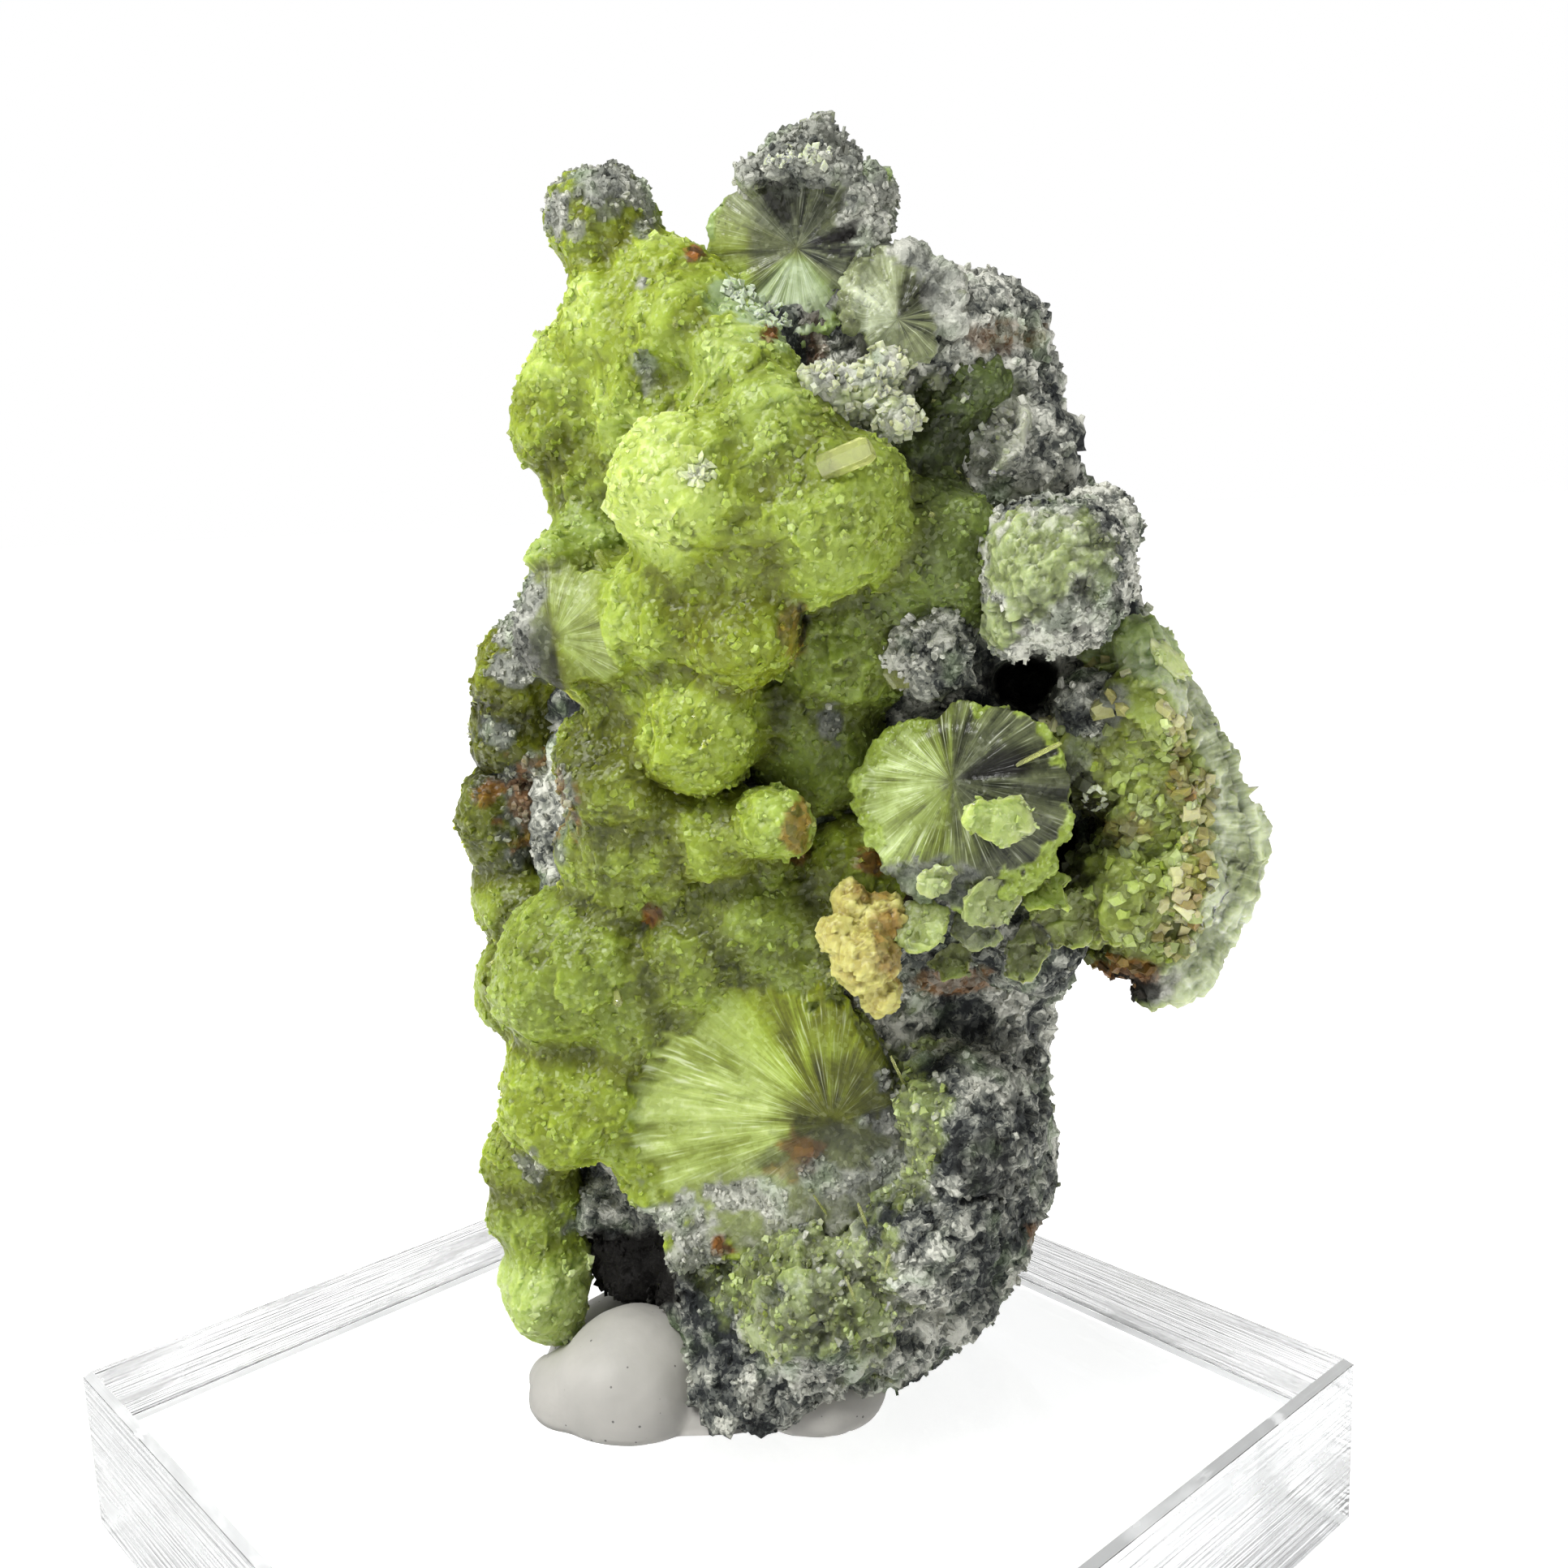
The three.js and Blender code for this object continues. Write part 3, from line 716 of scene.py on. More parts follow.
# The green domes, as an upper and a lower piece.
domes = {
    # the balls, each [x, z, front, radius, sea, tone]: sea is how blue-green it is, and tone how bright, its
    # own colour together with painted shade that is lower on the balls lying in shade
    "balls": np.array([
        # the small ball at the upper left, and the lobes below it
        [-1.55, 44.85, 0.3, 1.85, 0.05, 0.36], [-1.4, 41.5, 1.4, 1.7, 0.0, 0.85],
        [0.4, 42.8, 1.2, 1.75, 0.0, 0.72], [0.8, 41.2, 1.4, 2.5, 0.05, 0.68],
        [-2.3, 40.5, 0.3, 2.0, 0.05, 0.75], [-0.2, 39.4, 0.8, 2.6, 0.1, 0.6],
        [-3.1, 38.5, 0.1, 1.5, 0.05, 0.6], [-2.1, 37.3, -0.2, 1.9, 0.1, 0.5],
        # the bright domes of the upper middle, and the dull ones at their right, dull partly as painted shade
        [2.5, 40.1, 3.0, 2.1, 0.15, 0.68], [0.9, 36.5, 4.5, 2.75, 0.0, 0.82],
        [3.5, 37.5, 4.0, 2.7, 0.2, 0.68], [4.8, 35.7, 4.2, 3.0, 0.15, 0.52],
        [2.6, 35.2, 4.3, 2.2, 0.1, 0.58], [8.5, 34.2, 1.6, 2.6, 0.5, 0.26], [8.3, 37.4, 0.8, 1.8, 0.6, 0.1],
        [9.3, 39.1, 1.5, 1.5, 0.6, 0.05],
        # the knobs below them, and the recess at their right
        [-2.3, 34.9, 1.0, 1.6, 0.3, 0.6], [-0.4, 32.9, 3.2, 2.2, 0.1, 0.6],
        [1.4, 33.2, 3.8, 1.8, 0.05, 0.55], [2.3, 31.9, 4.4, 1.7, 0.0, 0.42],
        [5.6, 31.4, 0.8, 2.6, 0.3, 0.4], [4.6, 28.4, 0.4, 2.4, 0.3, 0.42],
        # the column of domes in the middle
        [0.8, 28.9, 3.2, 2.4, 0.05, 0.52], [-2.0, 28.3, 1.6, 2.2, 0.1, 0.35],
        [-1.5, 25.2, 1.6, 2.5, 0.15, 0.36], [1.4, 25.6, 2.8, 1.7, 0.1, 0.5],
        [3.1, 25.8, 4.0, 1.4, 0.15, 0.6], [2.6, 22.8, 1.4, 2.4, 0.25, 0.35],
        [5.6, 23.8, 1.4, 2.0, 0.1, 0.35], [0.2, 21.2, 2.2, 1.7, 0.2, 0.35],
        # the far left flank
        [-4.6, 31.0, -2.0, 1.9, 0.0, 0.25], [-5.1, 28.8, -2.2, 1.8, 0.0, 0.12],
        [-5.8, 26.3, -2.3, 2.0, 0.1, 0.12], [-5.1, 23.4, -2.4, 1.8, 0.1, 0.5],
        [-1.5, 27.2, 2.3, 2.1, 0.1, 0.42],
        # the large domes of the lower left, and last the leg below them
        [-3.5, 20.8, 1.0, 3.1, 0.2, 0.45], [-5.7, 20.2, -0.8, 1.7, 0.15, 0.5],
        [-4.1, 16.6, 1.0, 2.9, 0.05, 0.48], [-5.8, 14.4, 0.2, 1.8, 0.1, 0.45],
        [-5.5, 12.4, 0.2, 1.8, 0.2, 0.5], [-5.3, 9.9, 0.6, 1.8, 0.2, 0.8],
    ]),
    "legStretch": (1.1, 1.25, 1.55),
    "nodule": (3.7, 14.4, 3.4),  # a brown lump on the fan
    "noduleRadius": 0.55,
    "divide": 27.5,  # the height where the upper piece ends and the lower one starts
    "buds": 12,  # small balls that grow out of each large one
    "budSize": (0.22, 0.38),
    "voxel": 0.13,
    "melt": 0.34,  # the balls are fused this much larger and then shrunk, which fills the creases
    "ease": 8,
    "crystals": [(0.9, 0.14), (0.4, 0.21)],  # sizes of the crystals and the slopes of their faces
    "swells": [(2.4, 0.4), (1.3, 0.22)],  # sizes and heights of the slow swells
    # how much of the tone comes from the ball's own, from what stands out, from the creases and from mint;
    # the creases' share darkens them, painted shade together with the deeper olive of thicker crystal
    "toneShares": (0.9, 0.14, -0.24, 0.2),
    "crust": [
        [-1.4, 46.2, 1.6, 0.7, 1], [-2.9, 45.5, 0.5, 0.9, 1], [-0.2, 45.6, 0.6, 0.6, 0.9],
        [-1.1, 45.2, 0.4, 0.5, 0.6], [-2.3, 44.6, 0.3, 0.3, 0.7], [-0.3, 44.6, 0.35, 0.3, 0.7],
        [-5.0, 32.6, 0.9, 1.9, 1], [-0.26, 42.98, 0.3, 0.3, 0.9], [-0.41, 40.63, 0.35, 0.35, 0.9],
        [-0.3, 39.7, 0.25, 0.35, 0.6], [-5.9, 28.9, 0.9, 0.5, 0.9], [-5.2, 26.5, 0.8, 1.5, 0.8],
        [-4.1, 26.6, 0.6, 1.6, 0.7], [-3.0, 12.0, 1.8, 0.6, 0.9], [-5.6, 13.6, 0.5, 0.6, 0.7],
        [5.2, 28.9, 0.5, 0.6, 0.9], [-1.2, 11.9, 1.7, 1.1, 1], [0.0, 9.6, 1.9, 1.9, 0.85],
        [8.4, 14.0, 2.0, 4.6, 1], [2.6, 9.6, 3.0, 2.0, 0.6], [6.2, 10.8, 2.6, 2.2, 0.5],
        [1.8, 12.8, 1.9, 0.7, 0.9], [5.0, 12.4, 2.0, 0.9, 0.45], [4.6, 13.3, 1.3, 0.8, 0.9],
    ],
    "rust": [
        [1.34, 43.66, 0.3, 0.25, 1], [3.58, 41.3, 0.25, 0.2, 1], [-1.14, 22.79, 0.35, 0.3, 0.9],
        [4.0, 32.0, 0.4, 1.0, 0.5], [-4.6, 26.5, 1.1, 1.4, 0.6], [3.9, 25.4, 0.4, 1.0, 0.7],
        [6.2, 24.3, 0.5, 0.5, 0.9], [-6.3, 26.9, 0.5, 0.5, 0.6], [3.7, 14.4, 0.7, 0.55, 0.7],
        [3.0, 13.6, 0.9, 0.4, 0.4], [0.7, 10.9, 0.4, 0.45, 1],
    ],
    "mint": [[2.5, 42.4, 0.9, 0.6, 0.7], [3.4, 41.8, 0.9, 0.5, 0.7], [4.0, 41.2, 0.6, 0.5, 0.5]],
    # dark patches: painted shade in holes, gaps and cracks, such as the small holes in the bright dome
    "dark": [
        [4.3, 32.2, 0.2, 0.7, 0.9], [0.26, 34.99, 0.12, 0.12, 0.55], [0.87, 35.3, 0.1, 0.2, 0.6],
        [0.66, 34.8, 0.24, 0.12, 0.6], [-0.5, 30.9, 0.4, 0.3, 0.5], [3.4, 29.6, 0.5, 0.9, 0.45],
        [-2.6, 24.9, 0.3, 1.4, 0.4], [4.0, 15.1, 1.0, 0.35, 0.6], [4.7, 14.8, 1.0, 0.5, 0.45],
        [2.8, 14.0, 1.0, 0.35, 0.4], [3.7, 14.4, 1.2, 0.9, 0.3],
    ],
}

# The two balls broken open that grow out of the domes. A face looks along facing (right, towards the eye,
# up), and its fibres start at the heart, in millimetres from its middle. Its rim is [from angle, to angle,
# count, size, sink] of the lumps that stand along it, and its marks are given in sectors.
# the dark sectors, here and on the other broken faces, are painted shade in the cracks and hollows of the
# faces
leftBall = {
    "at": (-3.4, 32.4, 3.5), "radius": 2.25, "facing": (-0.1, 0.98, 0.1), "heart": (-0.2, -0.35),
    "dish": -0.25, "roll": 0.1, "ragged": 0.14, "bundles": 31, "pleat": 0.05, "salt": 22,
    "rim": (-80, 100, 8, 0.9, 0.7),
    "ash": [(180, 80, 0.0, 1.4, 1.0), (30, 90, 0.0, 1.4, 0.4)],
    "dark": [(215, 50, 0.25, 1.4, 0.55), (262, 14, 0.15, 1.4, 0.8)],
    "tone": [(10, 80, 0.1, 1.4, 0.44), (140, 50, 0.3, 1.4, 0.2)],
    "fibre": [(30, 90, 0.05, 1.4, 0.6)],
}
fanBall = {
    "at": (2.5, 15.2, 3.6), "radius": 5.5, "facing": (-0.12, 0.97, 0.05), "heart": (2.0, 0.0),
    "dish": 0.1, "roll": 0.06, "ragged": 0.1, "bundles": 73, "pleat": 0.05, "salt": 24, "edge": 0.84,
    "rim": (70, 240, 17, 1.0, 0.55),
    "ash": [(285, 75, 0.0, 1.1, 0.8), (180, 45, 0.2, 1.4, 0.25)],
    "dark": [(10, 55, 0.15, 1.3, 0.5), (60, 40, 0.1, 0.5, 0.35)],
    "tone": [(160, 50, 0.3, 1.4, 0.46), (85, 45, 0.4, 1.4, 0.16), (215, 30, 0.3, 1.3, 0.3)],
    "fibre": [(120, 105, 0.12, 1.4, 1.0), (300, 60, 0.3, 1.4, 0.4)],
}


def domePiece(name, shells, ball):
    # fuses the balls and gives them crystals, tones, rust and dark marks that paint shade; returns the shell,
    # its marks and where crystals may be sown on it
    shell = eased(fused(shells, domes["voxel"]), domes["ease"], domes["melt"])
    shell, lift, face = dressed(shell, domes["crystals"], 0, domes["swells"], ball=ball)
    points, on = shell[0], face["on"]
    sea, own, crease = nearestOf(points, domes["balls"], (4, 5))
    ash, dark, more, fibre = (sectors(face, ball[mark]) for mark in ("ash", "dark", "tone", "fibre"))
    mint = patchwork(points, domes["mint"], 0.6, 0.4, salt=8)
    crust = patchwork(points, domes["crust"], 0.75, 0.7, salt=3)
    # dark: painted shade from the face's sectors and from the dark patches
    dark = np.maximum(dark, patchwork(points, domes["dark"], 0.45, 0.3, salt=5))
    rust = patchwork(points, domes["rust"], 0.6, 0.4, salt=4)
    # the creases darken the tone: painted shade, together with the deeper olive of thicker crystal
    tone = sum(share * part for share, part in zip(domes["toneShares"], (own, lift, crease, mint)))
    tone = tone + on * (0.22 + more + 0.06 * face["steps"] - tone)
    marks = marksOf(tone, face, sea=np.maximum(sea, mint) * (1 - on), ash=np.maximum(ash, 0.65 * crust),
                    dark=dark, crust=crust, fibre=fibre * (1 - crust), rust=rust)
    newPiece(name, shell, sugarGreen, ["wavellite_crust"], marks)
    return shell, marks, (1 - on) * (1 - crust) * (1 - dark)


rows, melt = domes["balls"], domes["melt"]
high = rows[:, 1] > domes["divide"]
upper = domePiece("upper_domes", [
    *budded(rows[high], domes["buds"], domes["budSize"], grow=melt), brokenBall(leftBall, grow=melt),
    rimLumps(leftBall)], leftBall)
lower = domePiece("lower_domes", [
    *budded(rows[:-1][~high[:-1]], domes["buds"], domes["budSize"], grow=melt),
    ballsOf(rows[-1:], domes["legStretch"]), brokenBall(fanBall, 40, 180, melt), rimLumps(fanBall),
    balls(seen(*domes["nodule"])[None], [[domes["noduleRadius"]]])], fanBall)
print("domes made")

# The rock.
rock = {
    "levels": [  # [z, left, right, front, back] from the top down
        [43.2, 4.6, 10.0, 1.4, -1.6], [42.0, 1.6, 12.2, 2.2, -3.4], [39.6, -1.2, 12.7, 2.2, -5.0],
        [37.0, -1.8, 12.7, 1.8, -4.6], [34.0, -2.6, 14.6, 1.0, -6.4], [31.0, -4.2, 15.4, 0.6, -5.6],
        [28.0, -5.0, 15.4, 0.8, -7.4], [25.0, -5.2, 14.6, 1.2, -6.8], [22.0, -4.6, 13.0, 2.0, -6.2],
        [19.0, -4.6, 12.0, 1.4, -7.6], [16.0, -4.4, 12.1, 1.6, -6.6], [13.0, -3.6, 12.1, 2.2, -6.9],
        [10.4, -2.2, 11.4, 3.0, -4.8], [8.2, -1.3, 10.3, 3.9, -3.4], [6.4, -0.9, 7.6, 4.5, -1.5],
        [4.9, -0.7, 4.2, 4.9, 1.0], [3.6, -0.3, 1.9, 5.0, 3.2],
    ],
    "lumps": np.array([
        [6.8, 41.6, 0.8, 2.1], [9.4, 40.4, 0.6, 2.6], [10.9, 37.8, 0.4, 2.0],  # the shoulder
        [8.4, 31.2, 2.6, 1.6], [13.4, 29.2, 1.8, 1.4], [9.8, 26.8, 1.8, 2.6], [11.4, 21.8, 1.6, 2.0],
        [9.0, 15.4, 2.2, 2.8], [7.6, 11.6, 2.8, 2.9], [4.0, 8.8, 3.4, 2.7],  # the bulge and the foot
        [-2.2, 10.6, -0.6, 1.9], [-2.9, 12.6, -0.4, 1.5],  # behind the arch
    ]),
    "buds": 7,
    "budSize": (0.35, 0.5),
    "squareness": 3,
    "voxel": 0.2,
    "crystals": [(0.9, 0.3), (0.42, 0.4)],
    "swells": [(3.1, 0.35), (1.3, 0.15)],
    "pits": [[11.3, 30.1, 1.1, 0.9, 3.5], [12.6, 24.8, 0.5, 1.1, 1.5]],
    # dark patches: painted shade in the two pits and under the arch, and darker patches elsewhere
    "dark": [[11.3, 30.1, 1.15, 0.95, 1], [12.6, 24.8, 0.55, 1.3, 1], [-2.6, 9.9, 2.2, 1.8, 1],
             [9.9, 13.6, 1.2, 1.5, 0.5], [5.5, 42.0, 0.9, 0.8, 0.5], [6.6, 41.0, 0.8, 1.0, 0.5],
             [10.6, 17.0, 1.0, 1.6, 0.3]],
    "rust": [[6.6, 24.0, 1.2, 1.6, 0.9], [11.8, 11.0, 0.5, 0.5, 0.6], [10.6, 40.9, 1.3, 0.5, 0.4],
             [8.8, 20.2, 1.4, 0.5, 0.6], [5.0, 41.0, 0.4, 1.0, 0.3]],
    "pale": [[10.2, 39.5, 3.6, 4.0, 0.65], [8.2, 31.0, 2.2, 1.6, 0.8], [9.0, 20.6, 2.4, 1.0, 0.3],
             [4.0, 6.0, 3.0, 2.0, 0.4], [10.0, 18.4, 2.6, 1.6, 0.15]],
    "green": [[8.6, 38.6, 1.4, 1.2, 0.9], [7.6, 41.4, 1.4, 0.9, 0.7], [10.6, 38.0, 1.0, 1.6, 0.5],
              [7.4, 15.2, 1.2, 3.0, 0.8], [4.0, 10.4, 2.6, 1.6, 0.9], [3.4, 8.0, 2.2, 2.0, 0.8],
              [5.6, 9.2, 1.6, 2.6, 0.8], [1.4, 10.0, 1.4, 1.6, 0.6]],
}


def rockBlock(rings=80, columns=110):
    # a block whose outline at each height is squarish, between its left, right, front and back
    levels = np.array(rock["levels"])
    heights = np.linspace(levels[0, 0], levels[-1, 0], rings)[:, None]
    left, right, front, back = (np.interp(-heights, -levels[:, 0], levels[:, i]) for i in range(1, 5))
    angles = np.arange(columns) * 2 * np.pi / columns
    power = 2 / rock["squareness"]
    across, behind = (np.sign(v) * np.abs(v) ** power for v in (np.cos(angles), np.sin(angles)))
    points = seen((left + right) / 2 + across * (right - left) / 2, heights + 0 * angles,
                  (front + back) / 2 - behind * (front - back) / 2)
    ends = points[[0, -1]].mean(1)
    return np.concatenate([ends[:1], points.reshape(-1, 3), ends[1:]]), wrapped(rings, columns)


rockShell = fused([rockBlock(), *budded(rock["lumps"], rock["buds"], rock["budSize"])], rock["voxel"])
rockShell, rockLift, _ = dressed(rockShell, rock["crystals"], 11, rock["swells"], 0.3)
rockPoints = inward(rockShell[0], rock["pits"])
rockShell = (rockPoints, rockShell[1])
rockBehind = soft(rockPoints[:, 1], 1.5, 4.0)
# painted shade in the pits and under the arch, from the dark patches
rockDark = patchwork(rockPoints, rock["dark"], ragged=0.3, salt=6)
rockPale = 0.25 + 0.45 * cloud(rockPoints, 2.6, 33) + patchwork(rockPoints, rock["pale"], salt=34)
rockPale = np.clip(rockPale, 0, 1)
moss = soft(cloud(rockPoints, 4.0, 44) + 0.5 * cloud(rockPoints, 1.5, 45), 0.2, 0.6)
rockGreen = np.maximum(patchwork(rockPoints, rock["green"], 0.6, 0.9, salt=35), rockBehind * moss)
stains = soft(cloud(rockPoints, 3.0, 46) + 0.5 * cloud(rockPoints, 0.8, 47), 0.55, 0.8)
rockRust = np.maximum(patchwork(rockPoints, rock["rust"], salt=7), 0.7 * rockBehind * stains)
rockTone = 0.06 + rockLift * 0.6 * (1 - 0.5 * rockGreen) + 0.2 * rockGreen
rockMarks = marksOf(rockTone, crust=1 - rockGreen, rust=rockRust, dark=rockDark, sea=0.3,
                    ash=np.maximum(rockPale, 0.45 * rockGreen))
newPiece("matrix_rock_rough", rockShell, granular, ["matrix_rock"], rockMarks)

# The few green domes on the back.
back = {
    "balls": np.array([
        [9.6, 37.6, -4.4, 1.9, 0.3, 0.45], [7.2, 36.4, -5.2, 1.5, 0.3, 0.4],
        [1.2, 31.6, -5.9, 2.0, 0.2, 0.4], [3.6, 30.2, -6.2, 1.6, 0.2, 0.5],
        [-1.2, 29.6, -5.4, 1.4, 0.1, 0.3], [9.0, 21.4, -5.9, 2.2, 0.3, 0.4],
        [6.4, 20.0, -6.2, 1.7, 0.2, 0.45], [11.2, 23.4, -5.0, 1.5, 0.4, 0.3],
        [0.6, 16.8, -5.8, 1.6, 0.2, 0.35],
    ]),
    "budSize": (0.25, 0.42),
    "voxel": 0.2,
    "melt": 0.3,
    "ease": 4,
    "swells": [(2.4, 0.3)],
}
backShells = budded(back["balls"], domes["buds"], back["budSize"], grow=back["melt"])
backShell = eased(fused(backShells, back["voxel"]), back["ease"], back["melt"])
backShell, backLift, _ = dressed(backShell, domes["crystals"], 50, back["swells"])
backSea, backTone, backCrease = nearestOf(backShell[0], back["balls"], (4, 5))
# the creases darken the tone: painted shade, together with the deeper olive of thicker crystal
backTone = backTone + 0.14 * backLift - 0.26 * backCrease
backCrust = soft(cloud(backShell[0], 2.2, 51), 0.1, 0.4)
newPiece("back_domes", backShell, sugarGreen,
         marks=marksOf(backTone, sea=backSea, ash=0.6 * backCrust, crust=backCrust))

# The top ball with the crusted cap over its rim.
topBall = {
    "at": (4.1, 43.8, 2.4), "radius": 2.65, "facing": (-0.25, 0.96, -0.05), "heart": (0.35, -0.05),
    "dish": 0.06, "roll": 0.14, "ragged": 0.12, "bundles": 47, "pleat": 0.06, "salt": 21,
    "rim": (215, 330, 18, 0.4, 0.5),
    "ash": [(262, 50, 0.0, 1.4, 0.45), (90, 80, 0.0, 1.4, 1.0), (0, 50, 0.0, 1.4, 1.0),
            (180, 40, 0.0, 0.6, 0.8)],
    "dark": [(10, 14, 0.15, 0.8, 1.0), (110, 16, 0.25, 0.85, 0.85), (60, 30, 0.2, 0.9, 0.35)],
    "tone": [(185, 60, 0.6, 1.5, 0.28), (262, 50, 0.1, 1.5, 0.6)],
    "sea": [(265, 55, 0.1, 1.3, 0.8)],
    "cap": np.array([
        [4.9, 45.4, 0.2, 1.9], [6.0, 44.6, 0.4, 1.5], [3.3, 45.9, 2.2, 0.6], [4.1, 46.1, 2.4, 0.65],
        [5.0, 46.1, 2.5, 0.75], [5.8, 45.7, 2.5, 0.7], [6.4, 45.1, 2.5, 0.65], [6.8, 44.3, 2.4, 0.6],
        [5.3, 46.9, 1.3, 0.65], [6.9, 45.4, 1.2, 0.7], [6.8, 43.5, 2.0, 0.6], [5.35, 47.35, 0.9, 0.32]]),
    "budSize": (0.3, 0.45),
    "voxel": 0.085,
    "crystals": [(0.5, 0.3), (0.24, 0.4)],
    "swells": [(0.9, 0.08)],
    "crust": [[5.2, 46.4, 2.8, 1.4, 1], [6.7, 44.4, 1.2, 2.0, 1]],  # behind the face
    "crustOver": [[4.6, 46.0, 2.6, 0.55, 1], [6.3, 45.0, 0.5, 1.2, 1]],  # over its edge
}
topShells = [brokenBall(topBall), *budded(topBall["cap"], 9, topBall["budSize"]), rimLumps(topBall)]
topShell, topLift, topFace = dressed(
    fused(topShells, topBall["voxel"]), topBall["crystals"], 12, topBall["swells"], ball=topBall)
topOn = topFace["on"]
topTone, topSea, topAsh, topDark = (
    sectors(topFace, topBall[mark]) for mark in ("tone", "sea", "ash", "dark"))
topCrust = np.maximum((1 - topOn) * patchwork(topShell[0], topBall["crust"], 0.4, salt=36),
                      patchwork(topShell[0], topBall["crustOver"], 0.6, salt=42))
topTone = np.where(topOn > 0.5, 0.2 + 0.1 * topFace["steps"] + topTone, 0.45 + 0.3 * topLift)
topMarks = marksOf(topTone, topFace, sea=np.maximum(0.6 * (1 - topOn), topSea), dark=topDark, crust=topCrust,
                   ash=np.maximum(topAsh, 0.5 * topCrust))
newPiece("top_ball_broken", topShell, silkGreen, ["wavellite_top_ball"], topMarks)

# The small fan on the shoulder beside it.
shoulderFan = {
    "at": (7.8, 42.1, 3.3), "radius": 1.7, "facing": (0.05, 0.93, 0.35), "heart": (-0.25, -0.6),
    "dish": 0.0, "roll": 0.15, "ragged": 0.2, "bundles": 23, "pleat": 0.1, "salt": 25,
    "rim": (-20, 200, 11, 0.4, 0.35),
    "dark": [(60, 30, 0.0, 0.9, 0.75)],
    "tone": [(150, 60, 0.1, 2.0, 0.4)],
    "sea": [(200, 70, 0.0, 2.0, 0.8)],
    "voxel": 0.094,
    "crystals": [(0.5, 0.25), (0.25, 0.3)],
    "crust": [[9.0, 42.9, 1.0, 1.0, 1], [8.4, 43.5, 1.4, 0.5, 1], [9.4, 41.5, 0.7, 1.4, 1]],
}
shoulderShell = fused([brokenBall(shoulderFan), rimLumps(shoulderFan)], shoulderFan["voxel"])
shoulderShell, shoulderLift, shoulderFace = dressed(
    shoulderShell, shoulderFan["crystals"], 15, ball=shoulderFan)
shoulderTone = 0.34 + 0.15 * shoulderFace["steps"] + 0.25 * shoulderLift * (1 - shoulderFace["on"])
shoulderTone = shoulderTone + sectors(shoulderFace, shoulderFan["tone"])
shoulderMarks = marksOf(
    shoulderTone, shoulderFace, sea=sectors(shoulderFace, shoulderFan["sea"]), ash=0.9,
    dark=sectors(shoulderFace, shoulderFan["dark"]),
    crust=patchwork(shoulderShell[0], shoulderFan["crust"], 0.5, salt=43))
newPiece("shoulder_fan", shoulderShell, silkGreen, ["wavellite_top_ball"],
         shoulderMarks)

# The middle ball.
middleBall = {
    "at": (9.3, 26.5, 5.0), "radius": 3.3, "facing": (-0.2, 0.95, 0.2), "heart": (-0.3, 0.4),
    "dish": 0.0, "roll": 0.18, "ragged": 0.15, "bundles": 53, "pleat": 0.06, "salt": 23,
    "rim": (150, 320, 18, 0.42, 0.75),
    "ash": [(0, 90, 0.0, 1.4, 0.85), (185, 80, 0.0, 1.4, 0.3)],
    "dark": [(20, 20, 0.05, 0.8, 0.9), (80, 14, 0.1, 0.6, 0.5), (-20, 60, 0.1, 1.2, 0.3)],
    "tone": [(185, 75, 0.12, 1.4, 0.4)],
    "voxel": 0.09,
    "crystals": [(0.5, 0.25), (0.25, 0.3)],
    "crust": [[8.0, 23.6, 1.8, 0.9, 0.9]],
}
middleShell = fused([brokenBall(middleBall), rimLumps(middleBall)], middleBall["voxel"])
middleShell, middleLift, middleFace = dressed(middleShell, middleBall["crystals"], 13, ball=middleBall)
middleTone, middleAsh, middleDark = (
    sectors(middleFace, middleBall[mark]) for mark in ("tone", "ash", "dark"))
middleTone = np.where(middleFace["on"] > 0.5, 0.2 + 0.1 * middleFace["steps"] + middleTone,
                      0.45 + 0.2 * middleLift)
middleMarks = marksOf(middleTone, middleFace, sea=0.25, ash=middleAsh, dark=middleDark,
                      crust=patchwork(middleShell[0], middleBall["crust"], 0.5, salt=37))
newPiece("middle_ball_broken", middleShell, silkGreen, ["wavellite_middle_ball"],
         middleMarks)
print("broken balls made")

# The knob.
knob = {
    "lumps": np.array([[12.4, 33.5, 3.4, 2.6], [10.9, 34.3, 2.8, 1.4], [11.1, 31.9, 3.6, 1.1],
                       [13.7, 34.9, 1.8, 1.4]]),
    "budSize": (0.22, 0.36),
    "voxel": 0.12,
    "crystals": [(0.55, 0.3), (0.27, 0.35)],
    "swells": [(1.1, 0.12)],
    "green": [[11.5, 34.0, 1.8, 1.6, 1], [13.0, 34.3, 1.2, 0.8, 0.8], [10.4, 31.9, 0.9, 0.8, 1],
              [12.2, 35.0, 1.4, 0.6, 0.6], [11.6, 32.9, 0.8, 0.6, 0.8], [13.2, 33.6, 0.9, 0.9, 0.5]],
    # dark patches: painted shade under the knob and in its small pits
    "dark": [[13.1, 33.1, 0.3, 0.25, 0.9], [12.7, 32.3, 1.6, 0.8, 0.6], [11.6, 32.6, 0.5, 0.4, 0.4],
             [13.6, 34.2, 0.5, 0.6, 0.5]],
}
knobShell = fused(budded(knob["lumps"], 12, knob["budSize"]), knob["voxel"])
knobShell, knobLift, _ = dressed(knobShell, knob["crystals"], 14, knob["swells"])
knobGreen = patchwork(knobShell[0], knob["green"], ragged=0.5, salt=15)
knobMarks = marksOf(0.4 + 0.3 * knobLift, sea=0.4, ash=0.6, crust=np.clip(1 - knobGreen, 0, 1),
                    dark=patchwork(knobShell[0], knob["dark"], 1.2, 0.35, salt=16))
newPiece("knob_crusted", knobShell, granular, ["wavellite_knob"], knobMarks)

